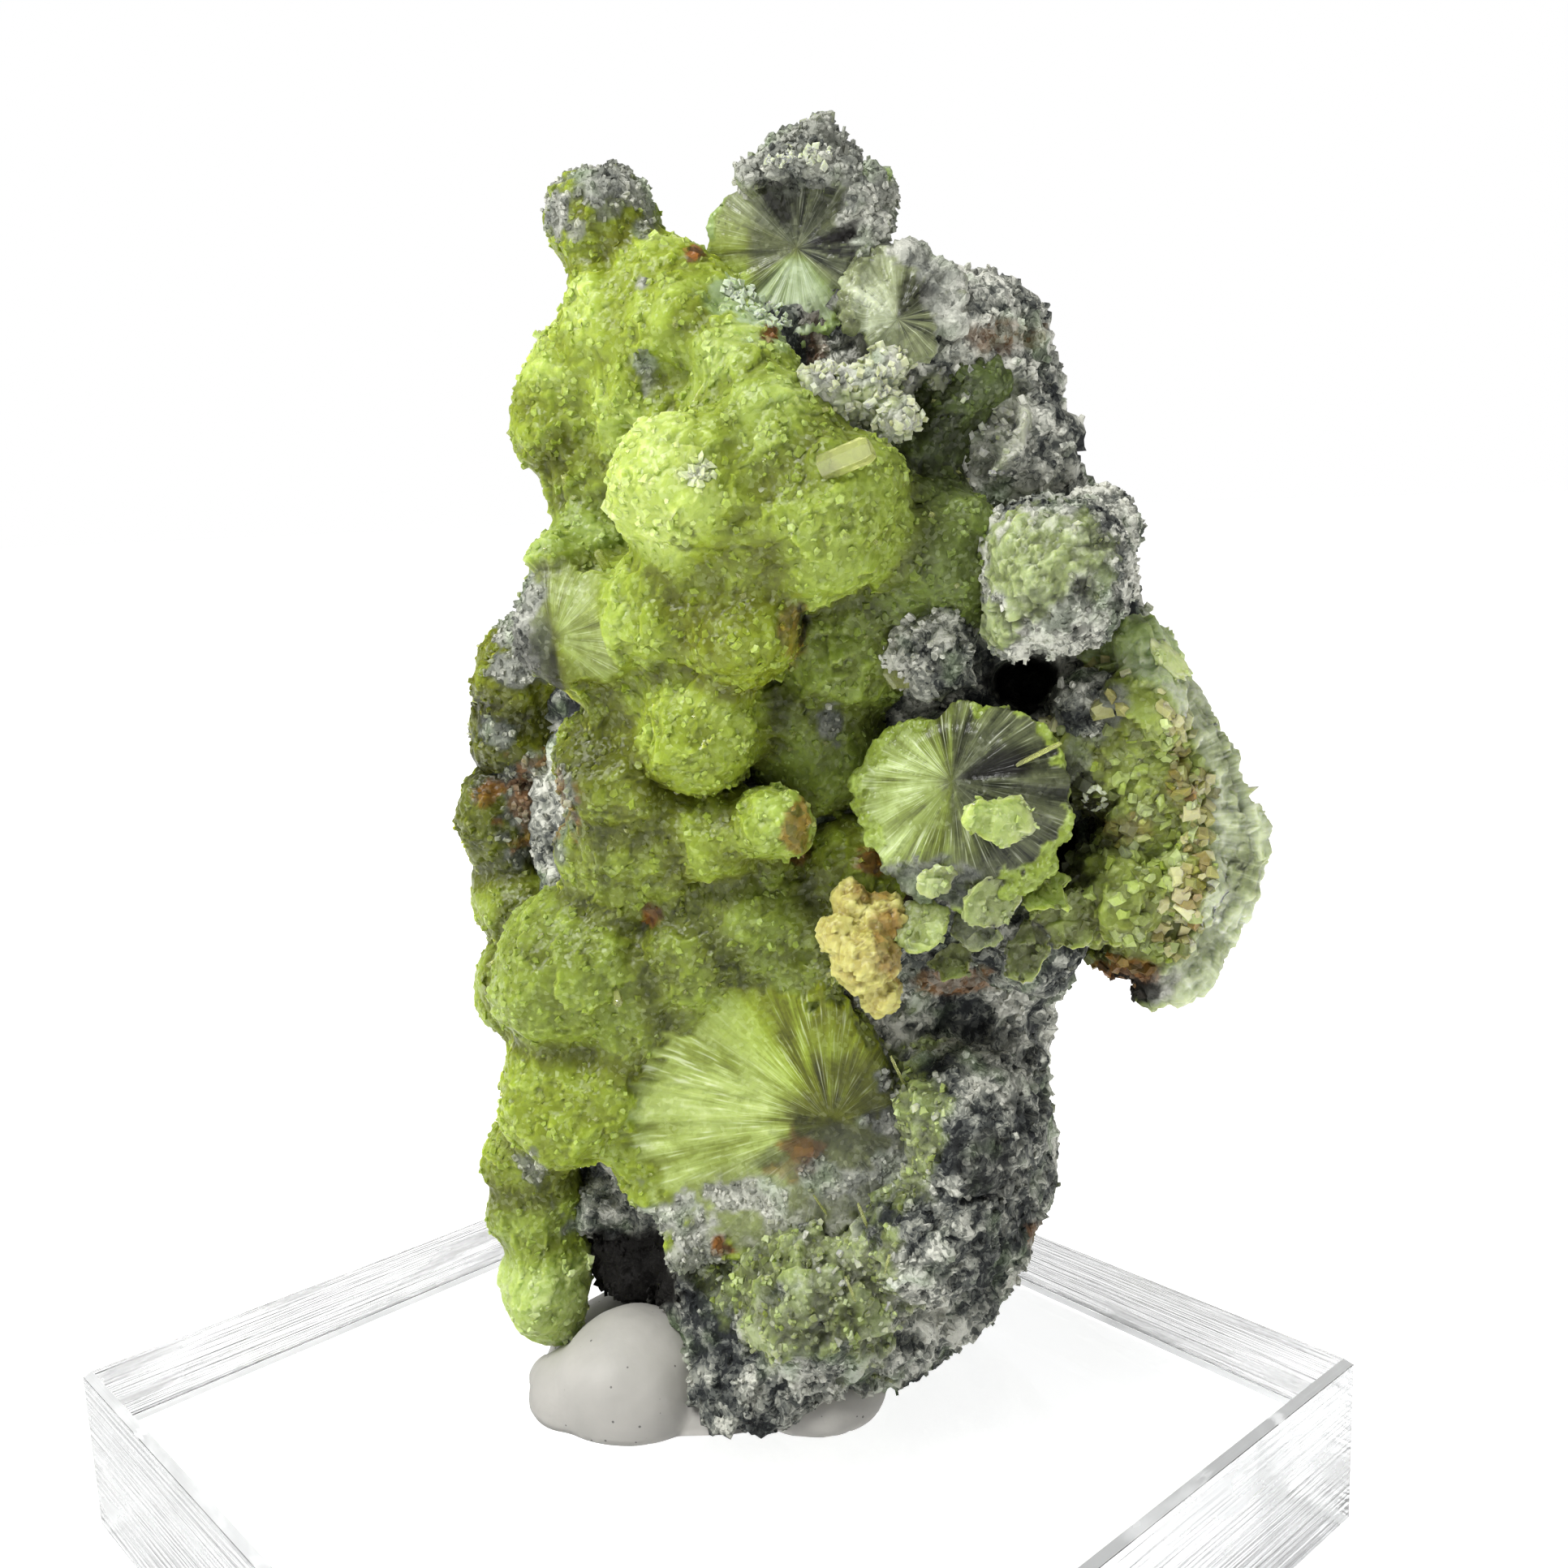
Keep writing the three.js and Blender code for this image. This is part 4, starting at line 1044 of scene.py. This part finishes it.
# The lobe: a rind with beads along its outer edge, round a druse.
lobe = {
    "rind": np.array([[14.7, 30.6, 0.4, 1.5], [14.9, 28.2, 0.4, 2.3], [16.1, 25.0, 0.6, 2.4],
                      [15.4, 22.4, 0.8, 2.4], [16.0, 20.5, 1.2, 1.3]]),
    "druse": np.array([[13.6, 27.6, 1.6, 1.8], [14.9, 29.1, 2.4, 1.5], [15.2, 26.4, 1.6, 2.0],
                       [16.6, 23.4, 2.8, 1.1], [14.2, 23.0, 2.4, 1.8]]),
    "edge": np.array([[14.8, 31.4], [15.4, 29.9], [16.3, 28.7], [17.1, 27.3], [17.7, 25.9], [18.5, 24.5],
                      [18.1, 23.0], [17.3, 21.4], [16.6, 20.2], [15.7, 19.9]]),
    "beads": 24,
    "beadFront": 2.0,
    "beadRadius": 0.8,
    "budSize": (0.26, 0.44),
    "voxel": 0.13,
    "crystals": [(2.2, 0.2), (0.7, 0.2), (0.36, 0.3)],
    "swells": [(1.9, 0.1)],
    "oval": (13.6, 25.0, 4.3, 6.4),  # x, z, half width and half height of the druse, inside the rind
    "heart": (12.5, 25.6),  # where the rind's fibres come from
    "fibreTop": 30.0,
    "crust": [[14.6, 19.9, 1.9, 0.6, 1], [13.3, 29.3, 1.2, 1.2, 0.9], [12.9, 27.4, 0.6, 1.0, 0.7]],
    # dark patches: painted shade in the hollow of the druse, and the dark slab below it
    "dark": [[14.0, 25.2, 0.8, 1.2, 0.5], [12.8, 25.2, 1.0, 2.0, 0.85], [14.2, 19.8, 1.7, 0.6, 0.9]],
    "rust": [[16.4, 26.6, 0.4, 1.0, 0.5], [16.8, 23.2, 0.4, 1.2, 0.4], [14.0, 20.2, 1.8, 0.6, 0.7],
             [14.6, 25.2, 0.9, 0.5, 0.4]],
    "plain": [[14.7, 30.0, 1.8, 1.6, 1]],  # where no crystals are sown
}
edgeCount = len(lobe["edge"])
beadSteps = np.linspace(0, edgeCount - 1, lobe["beads"])
beads = np.stack([*(np.interp(beadSteps, np.arange(edgeCount), lobe["edge"][:, i]) for i in range(2)),
                  np.full(lobe["beads"], lobe["beadFront"]), np.full(lobe["beads"], lobe["beadRadius"])], 1)
lobeShells = [ballsOf(lobe["rind"]), ballsOf(beads), *budded(lobe["druse"], 12, lobe["budSize"])]
lobeShell, lobeLift, _ = dressed(fused(lobeShells, lobe["voxel"]), lobe["crystals"], 17, lobe["swells"])
lobePoints = lobeShell[0]
lobeX, lobeZ = unseen(lobePoints)
ovalX, ovalZ, ovalWide, ovalHigh = lobe["oval"]
lobeReach = np.hypot((lobeX - ovalX) / ovalWide, (lobeZ - ovalZ) / ovalHigh)
rind = soft(lobeReach + 0.07 * cloud(lobePoints, 0.9, 41), 0.86, 0.93)
fibrous = rind * (lobeZ < lobe["fibreTop"])
lobeTone = 0.22 + 0.25 * lobeLift + 0.3 * cloud(lobePoints, 1.6, 38) + 0.36 * rind
lobeMarks = marksOf(
    lobeTone, sea=0.05 + 0.45 * rind, ash=0.25 + 0.6 * fibrous, fibre=0.8 * fibrous,
    across=lobeX - lobe["heart"][0], up=lobeZ - lobe["heart"][1],
    crust=patchwork(lobePoints, lobe["crust"], salt=18), rust=patchwork(lobePoints, lobe["rust"], salt=19),
    dark=patchwork(lobePoints, lobe["dark"], 0.5, salt=39))
newPiece("lobe_druse", lobeShell, sugarGreen, ["wavellite_lobe"], lobeMarks)

# The crystal chips in front of and below the middle ball, each a flat broken piece.
chips = {
    "rows": [  # [x, z, front, radius, how high against its width, spin, tone, ash]
        [10.6, 25.6, 5.9, 1.6, 0.56, -18, 0.76, 0.15], [8.4, 23.6, 5.4, 0.7, 0.8, 20, 0.7, 0.45],
        [10.3, 22.9, 5.2, 1.25, 0.75, 10, 0.6, 0.55], [9.7, 21.9, 4.9, 1.0, 0.7, -10, 0.25, 1.0],
        [16.0, 30.7, 3.1, 0.95, 0.42, -52, 1.0, 0.0], [7.9, 22.2, 4.9, 1.0, 1.0, 40, 0.5, 0.45],
        [11.9, 23.4, 4.4, 1.1, 0.8, -40, 0.55, 0.2], [12.6, 22.2, 3.6, 1.3, 0.8, 15, 0.4, 0.3],
        [11.4, 21.2, 3.9, 1.1, 0.7, 60, 0.3, 0.6], [8.9, 20.9, 2.3, 0.9, 0.7, 30, 0.35, 0.5],
    ],
    "facing": ((-0.6, 0.75, -0.2), (0.6, 1.0, 0.6)),  # the chips look anywhere between these two ways
    "depth": 0.42,
    "crystals": [(0.7, 0.14), (0.3, 0.12)],
}
chipShells = [brokenBall({
    "at": (x, z, front), "radius": radius, "facing": tuple(dice.uniform(*chips["facing"])), "dish": -0.05,
    "ragged": 0.11, "salt": 40 + number, "depth": chips["depth"], "stretch": (1, high), "spin": spin,
    "corners": 5 + number % 3}, 14, 48)
    for number, (x, z, front, radius, high, spin, _, _) in enumerate(chips["rows"])]
chipShell, chipLift, _ = dressed(joined(chipShells), chips["crystals"], 20)
chipTone, chipAsh = (np.repeat([row[i] for row in chips["rows"]], len(chipShells[0][0])) for i in (6, 7))
chipMarks = marksOf(chipTone + 0.25 * (chipLift - 0.5), sea=0.15, ash=chipAsh)
newPiece("crystal_chips", chipShell, sugarGreen, ["wavellite_middle_ball"], chipMarks)
print("knob, lobe and chips made")

# The druses in front.
yellow = {
    "lumps": np.array([[6.0, 21.1, 4.8, 1.2], [6.5, 19.8, 4.9, 0.75], [5.1, 21.9, 4.7, 0.7],
                       [6.6, 22.3, 4.1, 1.0], [5.6, 23.0, 4.2, 0.7]]),
    "budSize": (0.2, 0.36),
    "voxel": 0.085,
    "crystals": [(0.5, 0.3), (0.25, 0.4)],
    "rust": [[6.9, 21.8, 0.6, 1.6, 0.6], [6.2, 23.4, 0.8, 0.5, 0.6]],
}
yellowShell = fused(budded(yellow["lumps"], 22, yellow["budSize"]), yellow["voxel"])
yellowShell, yellowLift, _ = dressed(yellowShell, yellow["crystals"], 25)
yellowMarks = marksOf(0.15 + 0.45 * yellowLift, rust=patchwork(yellowShell[0], yellow["rust"], salt=25))
newPiece("yellow_druse_knobs", yellowShell, yellowCream, ["yellow_druse"], yellowMarks)

pale = {
    "lumps": np.array([[6.4, 39.4, 3.9, 0.9], [7.3, 38.6, 3.9, 0.9], [4.9, 39.6, 4.5, 0.8],
                       [7.1, 40.0, 3.4, 0.8], [5.6, 39.2, 4.4, 0.6]]),
    "budSize": (0.2, 0.34),
    "voxel": 0.085,
    "crystals": [(0.4, 0.3), (0.2, 0.35)],
    "swells": [(0.6, 0.1)],
}
paleShell = fused(budded(pale["lumps"], 16, pale["budSize"], 0.85), pale["voxel"])
paleShell, paleLift, _ = dressed(paleShell, pale["crystals"], 26, pale["swells"])
paleMarks = marksOf(0.46 + 0.45 * paleLift, sea=0.2, ash=0.7,
                    crust=soft(cloud(paleShell[0], 0.8, 27), -0.3, 0.3))
newPiece("pale_druse", paleShell, sugarGreen, ["pale_crystals"], paleMarks)

# Small crystals and crumbs on the surfaces: how far apart they stand, their widths and heights, how much
# they lean, how deep they sink, and how far chance changes the marks of the place where each stands.
sprinkles = {
    "domeSugar": {"spacing": 0.34, "width": (0.16, 0.4), "height": (0.12, 0.26), "tilt": 0.4, "sink": 0.34,
                  "change": {"tone": (0.0, 0.16), "ash": (0.0, 0.05)}},
    "domeCrumbs": {"spacing": 0.26, "width": (0.14, 0.34), "height": (0.12, 0.28), "tilt": 0.7, "sink": 0.1,
                   "change": {"tone": (-0.3, 0.3)}},
    "rockCrumbs": {"spacing": 0.3, "width": (0.14, 0.4), "height": (0.12, 0.32), "tilt": 0.7, "sink": 0.1,
                   "change": {"tone": (-0.3, 0.6)}},
    "rockSugar": {"spacing": 0.3, "width": (0.12, 0.34), "height": (0.1, 0.24), "tilt": 0.6, "sink": 0.3,
                  "change": {"tone": (0.05, 0.3), "ash": (-0.1, 0.3), "sea": (-0.3, 0.0)}},
    "knobCrumbs": {"spacing": 0.25, "width": (0.14, 0.3), "height": (0.12, 0.28), "tilt": 0.7, "sink": 0.12,
                   "change": {"tone": (-0.3, 0.3)}},
    "topCrumbs": {"spacing": 0.24, "width": (0.14, 0.32), "height": (0.12, 0.34), "tilt": 0.8, "sink": 0.1,
                  "change": {"tone": (-0.3, 0.3)}},
    "lobeCrystals": {"spacing": 0.38, "width": (0.3, 0.7), "height": (0.18, 0.42), "tilt": 0.6, "sink": 0.3,
                     "change": {"tone": (-0.1, 0.3), "ash": (-0.2, 0.4)}},
    "lobeCrumbs": {"spacing": 0.3, "width": (0.25, 0.75), "height": (0.2, 0.5), "tilt": 0.7, "sink": 0.15,
                   "change": {"tone": (-0.3, 0.4), "ash": (0.0, 0.3), "rust": (-0.2, 0.35)}},
    "chipSugar": {"spacing": 0.3, "width": (0.14, 0.36), "height": (0.1, 0.2), "tilt": 0.7, "sink": 0.35,
                  "change": {"tone": (-0.12, 0.12), "ash": (-0.1, 0.2)}},
    "paleCrumbs": {"spacing": 0.26, "width": (0.14, 0.34), "height": (0.14, 0.34), "tilt": 0.6, "sink": 0.1,
                   "change": {"tone": (0.0, 0.45), "ash": (-0.1, 0.3)}},
    "glints": {"spacing": 0.5, "width": (0.1, 0.24), "height": (0.1, 0.2), "tilt": 0.6, "sink": 0.0,
               "change": {}},
}
sugarForm = chip(5, [(0.34, 0.5), (0.5, -0.5)])
crumbForm = chip(5, [(0.34, 0.5), (0.46, -0.4)])
cubeForm = chip(4, [(0.5, 0.5), (0.56, -0.5)])


def sprinkled(name, shell, marks, cover, form, look, material, replaces):
    # crystals sown on a surface, each with the marks of the place where it stands
    look = sprinkles[look]
    places, normals, chosen = spots(shell, look["spacing"], cover)
    wide = dice.uniform(*look["width"], len(places))
    deep = wide * dice.uniform(0.6, 1.0, len(places))
    sizes = np.stack([wide, deep, dice.uniform(*look["height"], len(places))], 1)
    corners = len(form[0])
    own = {mark: np.repeat(np.broadcast_to(marks[mark], len(shell[0]))[chosen], corners) for mark in marks}
    for mark, (low, high) in look["change"].items():
        own[mark] = np.clip(own[mark] + np.repeat(dice.uniform(low, high, len(places)), corners), 0, 1)
    grown = sown(form, places, normals, sizes, look["tilt"], look["sink"])
    newPiece(name, grown, material, [replaces], own, smooth=False)


for name, (shell, marks, free), cover in (("upper", upper, 0.46), ("lower", lower, 0.32)):
    ahead = 0.4 + 0.6 * soft(-shell[0][:, 1], -2.0, 1.0)
    sprinkled(name + "_sugar", shell, marks, cover * free * ahead, sugarForm, "domeSugar",
              sugarGrains, "wavellite_crust")
    sprinkled(name + "_crumbs", shell, {**marks, "tone": 0.5, "ash": 0.6},
              0.8 * soft(marks["crust"], 0.4, 0.8), crumbForm, "domeCrumbs",
              sugarGreen, "wavellite_crust")
rockFront = soft(-rockPoints[:, 1], -1.0, 1.5)
sprinkled("rock_crumbs", rockShell, rockMarks, (0.15 + 0.25 * rockFront) * (0.3 + 0.7 * rockPale), crumbForm,
          "rockCrumbs", granular, "matrix_rock")
sprinkled("rock_sugar", rockShell, {**rockMarks, "crust": 0.0}, 0.6 * soft(rockGreen, 0.4, 0.7), sugarForm,
          "rockSugar", sugarGrains, "matrix_rock")
sprinkled("knob_crumbs", knobShell, knobMarks, 0.6 * (1 - knobGreen), crumbForm,
          "knobCrumbs", granular, "wavellite_knob")
sprinkled("top_crumbs", topShell, topMarks, 0.7 * topCrust, crumbForm,
          "topCrumbs", sugarGreen, "wavellite_top_ball")
lobePlain = patchwork(lobePoints, lobe["plain"], 0.3, salt=48)
sprinkled("lobe_crystals", lobeShell, lobeMarks, 0.5 * (1 - rind) * (1 - lobePlain), sugarForm,
          "lobeCrystals", sugarGrains, "wavellite_lobe")
druseEdge = soft(lobeReach, 0.62, 0.72) * (1 - rind) * soft(-lobePoints[:, 1], 0.5, 1.5)
bareMarks = {**lobeMarks, "tone": 0.6, "crust": 0.0, "fibre": 0.0, "sea": 0.0, "dark": 0.0}
sprinkled("lobe_crumbs", lobeShell, bareMarks, 0.7 * druseEdge * soft(cloud(lobePoints, 1.5, 40), -0.3, 0.2),
          sugarForm, "lobeCrumbs", yellowCream, "wavellite_lobe")
sprinkled("chip_sugar", chipShell, chipMarks, 0.3, sugarForm,
          "chipSugar", sugarGrains, "wavellite_middle_ball")
sprinkled("pale_crumbs", paleShell, {**paleMarks, "crust": 0.0}, 0.5, cubeForm,
          "paleCrumbs", yellowCream, "pale_crystals")
for name, (shell, marks, free) in (("upper", upper), ("lower", lower)):
    sprinkled(name + "_glints", shell, marks, 0.035 * free, cubeForm,
              "glints", clearCrystal, "wavellite_crust")


def landed(places, shell):
    # where the eye's rays through places of the middle plane first meet a surface, and its normals there
    tree = BVHTree.FromPolygons(shell[0].tolist(), shell[1].tolist())
    hits = [tree.ray_cast(Vector(eye), Vector(seen(x, z, 0.0) - eye).normalized()) for x, z in places]
    return np.array([hit[0] for hit in hits]), np.array([hit[1] for hit in hits])


def alongLine(start, end, count, bow=0.0):
    # places on the display side along a line, which may bow upwards: bow times the sine of 0.4 to 2.7
    curve = bow * np.sin(np.linspace(0.4, 2.7, count))
    return np.stack([np.linspace(start[0], end[0], count), np.linspace(start[1], end[1], count) + curve], 1)


# Single crystals.
clearOnes = np.array([  # [x, z, width, depth, length, and the way it points: right, towards the eye and up]
    [5.2, 37.15, 0.75, 0.5, 1.45, 1.0, 0.5, 0.35],  # the tabular prism
    [7.2, 16.6, 0.12, 0.1, 1.1, -0.4, 0.2, 1.0], [5.8, 11.5, 0.1, 0.08, 0.9, -0.3, 0.25, 1.0],
    [5.3, 8.8, 0.12, 0.1, 0.9, -0.3, 0.25, 1.0], [6.4, 9.8, 0.09, 0.08, 0.7, 0.2, 0.3, 1.0],  # needles
    [11.2, 27.5, 0.2, 0.12, 1.3, 1.0, 0.3, 0.55], [4.4, 12.0, 0.08, 0.08, 0.8, -0.5, 0.3, 1.0],
    [7.3, 30.5, 1.1, 1.0, 0.5, 0.1, 1.0, 0.2],  # the plate
    [-1.9, 34.2, 0.3, 0.2, 0.7, -0.3, 0.6, 0.8], [-2.4, 20.0, 0.4, 0.3, 0.5, 0.3, 1.0, -0.4],
    [9.9, 22.1, 0.3, 0.2, 0.6, 0.5, 0.6, 0.4],
])
white = {
    "cluster": {"at": (1.16, 37.06), "spread": 0.19, "count": 26, "grow": 1.3},
    "ring": {"at": (13.59, 26.28), "radius": 0.33, "count": 11},
    "fringe": {"from": (3.7, 46.2), "to": (5.6, 46.2), "bow": 0.2, "spread": 0.12, "count": 40},
    "mint": {"from": (2.2, 42.8), "to": (4.1, 41.5), "spread": 0.16, "count": 60},
    "sizes": ((0.12, 0.12, 0.1), (0.3, 0.3, 0.26)),
}
cluster, ring, fringe, mint = (white[name] for name in ("cluster", "ring", "fringe", "mint"))
clusterPlaces = cluster["at"] + cluster["spread"] * dice.normal(size=(cluster["count"], 2))
ringAngles = np.arange(ring["count"]) * 2 * np.pi / ring["count"]
ringPlaces = ring["at"] + ring["radius"] * np.stack([np.cos(ringAngles), np.sin(ringAngles)], 1)
fringePlaces = alongLine(fringe["from"], fringe["to"], fringe["count"], fringe["bow"])
fringePlaces += fringe["spread"] * dice.normal(size=(fringe["count"], 2))
mintPlaces = alongLine(mint["from"], mint["to"], mint["count"])
mintPlaces += mint["spread"] * dice.normal(size=(mint["count"], 2))
ground = joined([upper[0], lower[0], rockShell, topShell, shoulderShell, middleShell, knobShell, lobeShell,
                 paleShell])
places, normals = landed(
    np.concatenate([clearOnes[:, :2], clusterPlaces, ringPlaces, fringePlaces, mintPlaces]), ground)
count = len(clearOnes)
ways = unit(clearOnes[:, 5:] * [1, -1, 1])
prism = chip(6, [(0.38, 1.0), (0.5, 0.86), (0.5, -0.1)])
glass = sown(prism, places[:count], ways, clearOnes[:, 2:5], tilt=0.0, shake=0.04)
newPiece("clear_crystals", glass, clearCrystal, smooth=False)
sizes = dice.uniform(*white["sizes"], (len(places) - count, 3))
sizes[:cluster["count"]] *= cluster["grow"]
whites = sown(cubeForm, places[count:], normals[count:], sizes, tilt=0.6, sink=0.1, shake=0.35)
number = np.arange(len(whites[0])) // len(cubeForm[0])
minty = number >= len(sizes) - mint["count"]
whiteAsh = 1 - 0.45 * minty - 0.45 * (number < cluster["count"])
newPiece("white_crystals", whites, sugarGrains, marks=marksOf(1.15, ash=whiteAsh, sea=minty),
         smooth=False)
print("crystals and crumbs made")

# The putty.
putty = {
    "lumps": np.array([[0.2, 6.7, -1.0, 5.7], [-2.6, 5.6, 2.3, 2.9], [3.9, 5.4, 2.2, 2.4],
                       [-4.4, 5.3, 2.0, 2.0], [-5.5, 5.9, 1.4, 0.9]]),
    "stretch": np.array([[1, 0.9, 0.45], [0.95, 0.9, 0.95], [1, 1, 0.62], [1, 1, 0.9], [1, 1, 1]]),
    "voxel": 0.24,
    "swells": ((2.4, 0.16, 28), (0.9, 0.05, 29)),  # sizes, heights and salts
    "clearance": 0.01,  # how far it stays above the acrylic
    "specks": 0.5,  # millimetres between them
}
puttyShell = fused([ballsOf(putty["lumps"], putty["stretch"], 19, 32)], putty["voxel"])
swell = sum(height * cloud(puttyShell[0], size, salt) for size, height, salt in putty["swells"])
puttyPoints = puttyShell[0] + normalsOf(*puttyShell) * swell[:, None]
puttyPoints[:, 2] = np.maximum(puttyPoints[:, 2], baseTop + putty["clearance"])
sheet = Sheet("grey_putty")
where = sheet.place()
puttyColour = sheet.blend(sheet.noise(1.8, 4.0, where), tint(158, 156, 150), tint(186, 183, 176))
specks = {"Vector": where, "Scale": 1 / putty["specks"]}
specks = sheet.node("ShaderNodeTexVoronoi", None, specks, "Distance")
puttyColour = sheet.blend(sheet.span(specks, 0.07, 0.1, 1.0, 0.0), puttyColour, tint(104, 102, 98))
greyPutty = sheet.finish(sheet.shader(
    Base_Color=puttyColour, Roughness=0.6, Normal=sheet.bump(sheet.noise(0.5, 4.0, where) * 0.05, 0.5)))
newPiece("putty_lump", (puttyPoints, puttyShell[1]), greyPutty, ["mounting_putty"])
print("putty made")

# The acrylic base keeps its own solid and gets a finish: clear, with finely sawn sides, and light grey bevels
# painted as the bright lines its edges show.
acrylic = {
    "side": 15.62,  # the bevels and the sides start this far from the middle, in millimetres
    "bevel": 15.86,  # and the bevels, painted matt light grey as the bright lines of light along the edges, end here
    "ior": 1.49,
    "tint": (0.9, 0.96, 0.98),
    "density": 6.0,
    "frost": 0.25,  # how rough and how white the frosted parts of the sides are
}
sheet = Sheet("clear_acrylic")
x = sheet.node("ShaderNodeSeparateXYZ", None, {0: sheet.place()})
y = Value(sheet, x.socket.node.outputs[1])
side = sheet.math("MAXIMUM", sheet.math("ABSOLUTE", x), sheet.math("ABSOLUTE", y)) > acrylic["side"]
saw = sheet.noise(1.0, 3.0, sheet.place((0.12, 0.12, 7)))
frost = sheet.span(sheet.noise(2.2, 4.0, sheet.place((0.5, 0.5, 1.6))), 0.48, 0.7) * side
scratch = sheet.noise(1.0, 2.0, sheet.place((3.0, 0.15, 1)))
clear = sheet.shader(
    Base_Color=(1.0, 1.0, 1.0), Roughness=0.01 + side * 0.05 + frost * acrylic["frost"], IOR=acrylic["ior"],
    Transmission_Weight=1.0, Normal=sheet.bump((saw * side + scratch * 0.02) * 0.05, 0.6))
absorbed = {"Color": acrylic["tint"], "Density": acrylic["density"]}
absorbed = sheet.node("ShaderNodeVolumeAbsorption", None, absorbed)
# matt light grey: the frost of the sawn sides, and on the bevels painted light for the bright edges
frostAndEdgeLight = sheet.shader(Base_Color=(0.86, 0.87, 0.87), Roughness=0.5)
past = sheet.math("MAXIMUM", sheet.math("ABSOLUTE", x), sheet.math("ABSOLUTE", y)) > acrylic["bevel"]
share = side * (1 - past) * 0.55 + frost * acrylic["frost"]
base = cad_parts["acrylic_base"]
base.material_slots[0].material = sheet.finish(sheet.mixed(share, clear, frostAndEdgeLight), absorbed)
print("acrylic made")

# The camera, the floor and the light.
turnMatrix = Matrix.Rotation(math.radians(display["turn"]), 3, "Z")
camera = bpy.data.objects.new("camera", bpy.data.cameras.new("camera"))
bpy.context.scene.collection.objects.link(camera)
camera.data.lens = display["lens"]
camera.data.sensor_width = 36.0
camera.data.clip_start = 0.001
forward = turnMatrix @ Vector(display["forward"])
aim = forward.to_track_quat("-Z", "Y").to_matrix() @ Matrix.Rotation(math.radians(display["roll"]), 3, "Z")
camera.matrix_world = Matrix.Translation(turnMatrix @ Vector(display["eye"]) / 1000) @ aim.to_4x4()
bpy.context.scene.camera = camera

stage = {
    "floorReach": 3.0,  # metres from the middle to each side
    "floorDrop": 0.0001,
    "floorGlow": 0.8,
    "skyLight": 0.4,  # what lights the scene
    "skySeen": 1.0,  # the white that the camera sees
    "lamp": (-0.13, -0.12, 0.25),
    "lampTarget": (0, 0, 0.025),
    "lampSize": 0.11,
    "lampPower": 0.95,
}
reach, drop = stage["floorReach"], -stage["floorDrop"]
sheet = Sheet("white_floor")
floorMesh = bpy.data.meshes.new("floor")
corners = [(-reach, -reach, drop), (reach, -reach, drop), (reach, reach, drop), (-reach, reach, drop)]
floorMesh.from_pydata(corners, [], [(0, 1, 2, 3)])
floorMesh.materials.append(sheet.finish(sheet.shader(
    Base_Color=(0.9, 0.9, 0.9), Roughness=0.9, Emission_Color=(1.0, 1.0, 1.0),
    Emission_Strength=stage["floorGlow"])))
floor = bpy.data.objects.new("floor", floorMesh)
bpy.context.scene.collection.objects.link(floor)

world = bpy.data.worlds.new("studio")
bpy.context.scene.world = world
world.use_nodes = True
sky = world.node_tree.nodes
lightPath = sky.new("ShaderNodeLightPath")
strength = sky.new("ShaderNodeMix")
strength.inputs["A"].default_value = stage["skyLight"]
strength.inputs["B"].default_value = stage["skySeen"]
world.node_tree.links.new(lightPath.outputs["Is Camera Ray"], strength.inputs["Factor"])
world.node_tree.links.new(strength.outputs["Result"], sky["Background"].inputs["Strength"])
sky["Background"].inputs["Color"].default_value = (1, 1, 1, 1)

lamp = bpy.data.objects.new("key", bpy.data.lights.new("key", "AREA"))
lamp.data.shape = "DISK"
lamp.data.size = stage["lampSize"]
lamp.data.energy = stage["lampPower"]
at = turnMatrix @ Vector(stage["lamp"])
aim = (Vector(stage["lampTarget"]) - at).to_track_quat("-Z", "Y").to_matrix()
lamp.matrix_world = Matrix.Translation(at) @ aim.to_4x4()
bpy.context.scene.collection.objects.link(lamp)
bpy.context.scene.view_settings.view_transform = "Standard"
print("stage made")
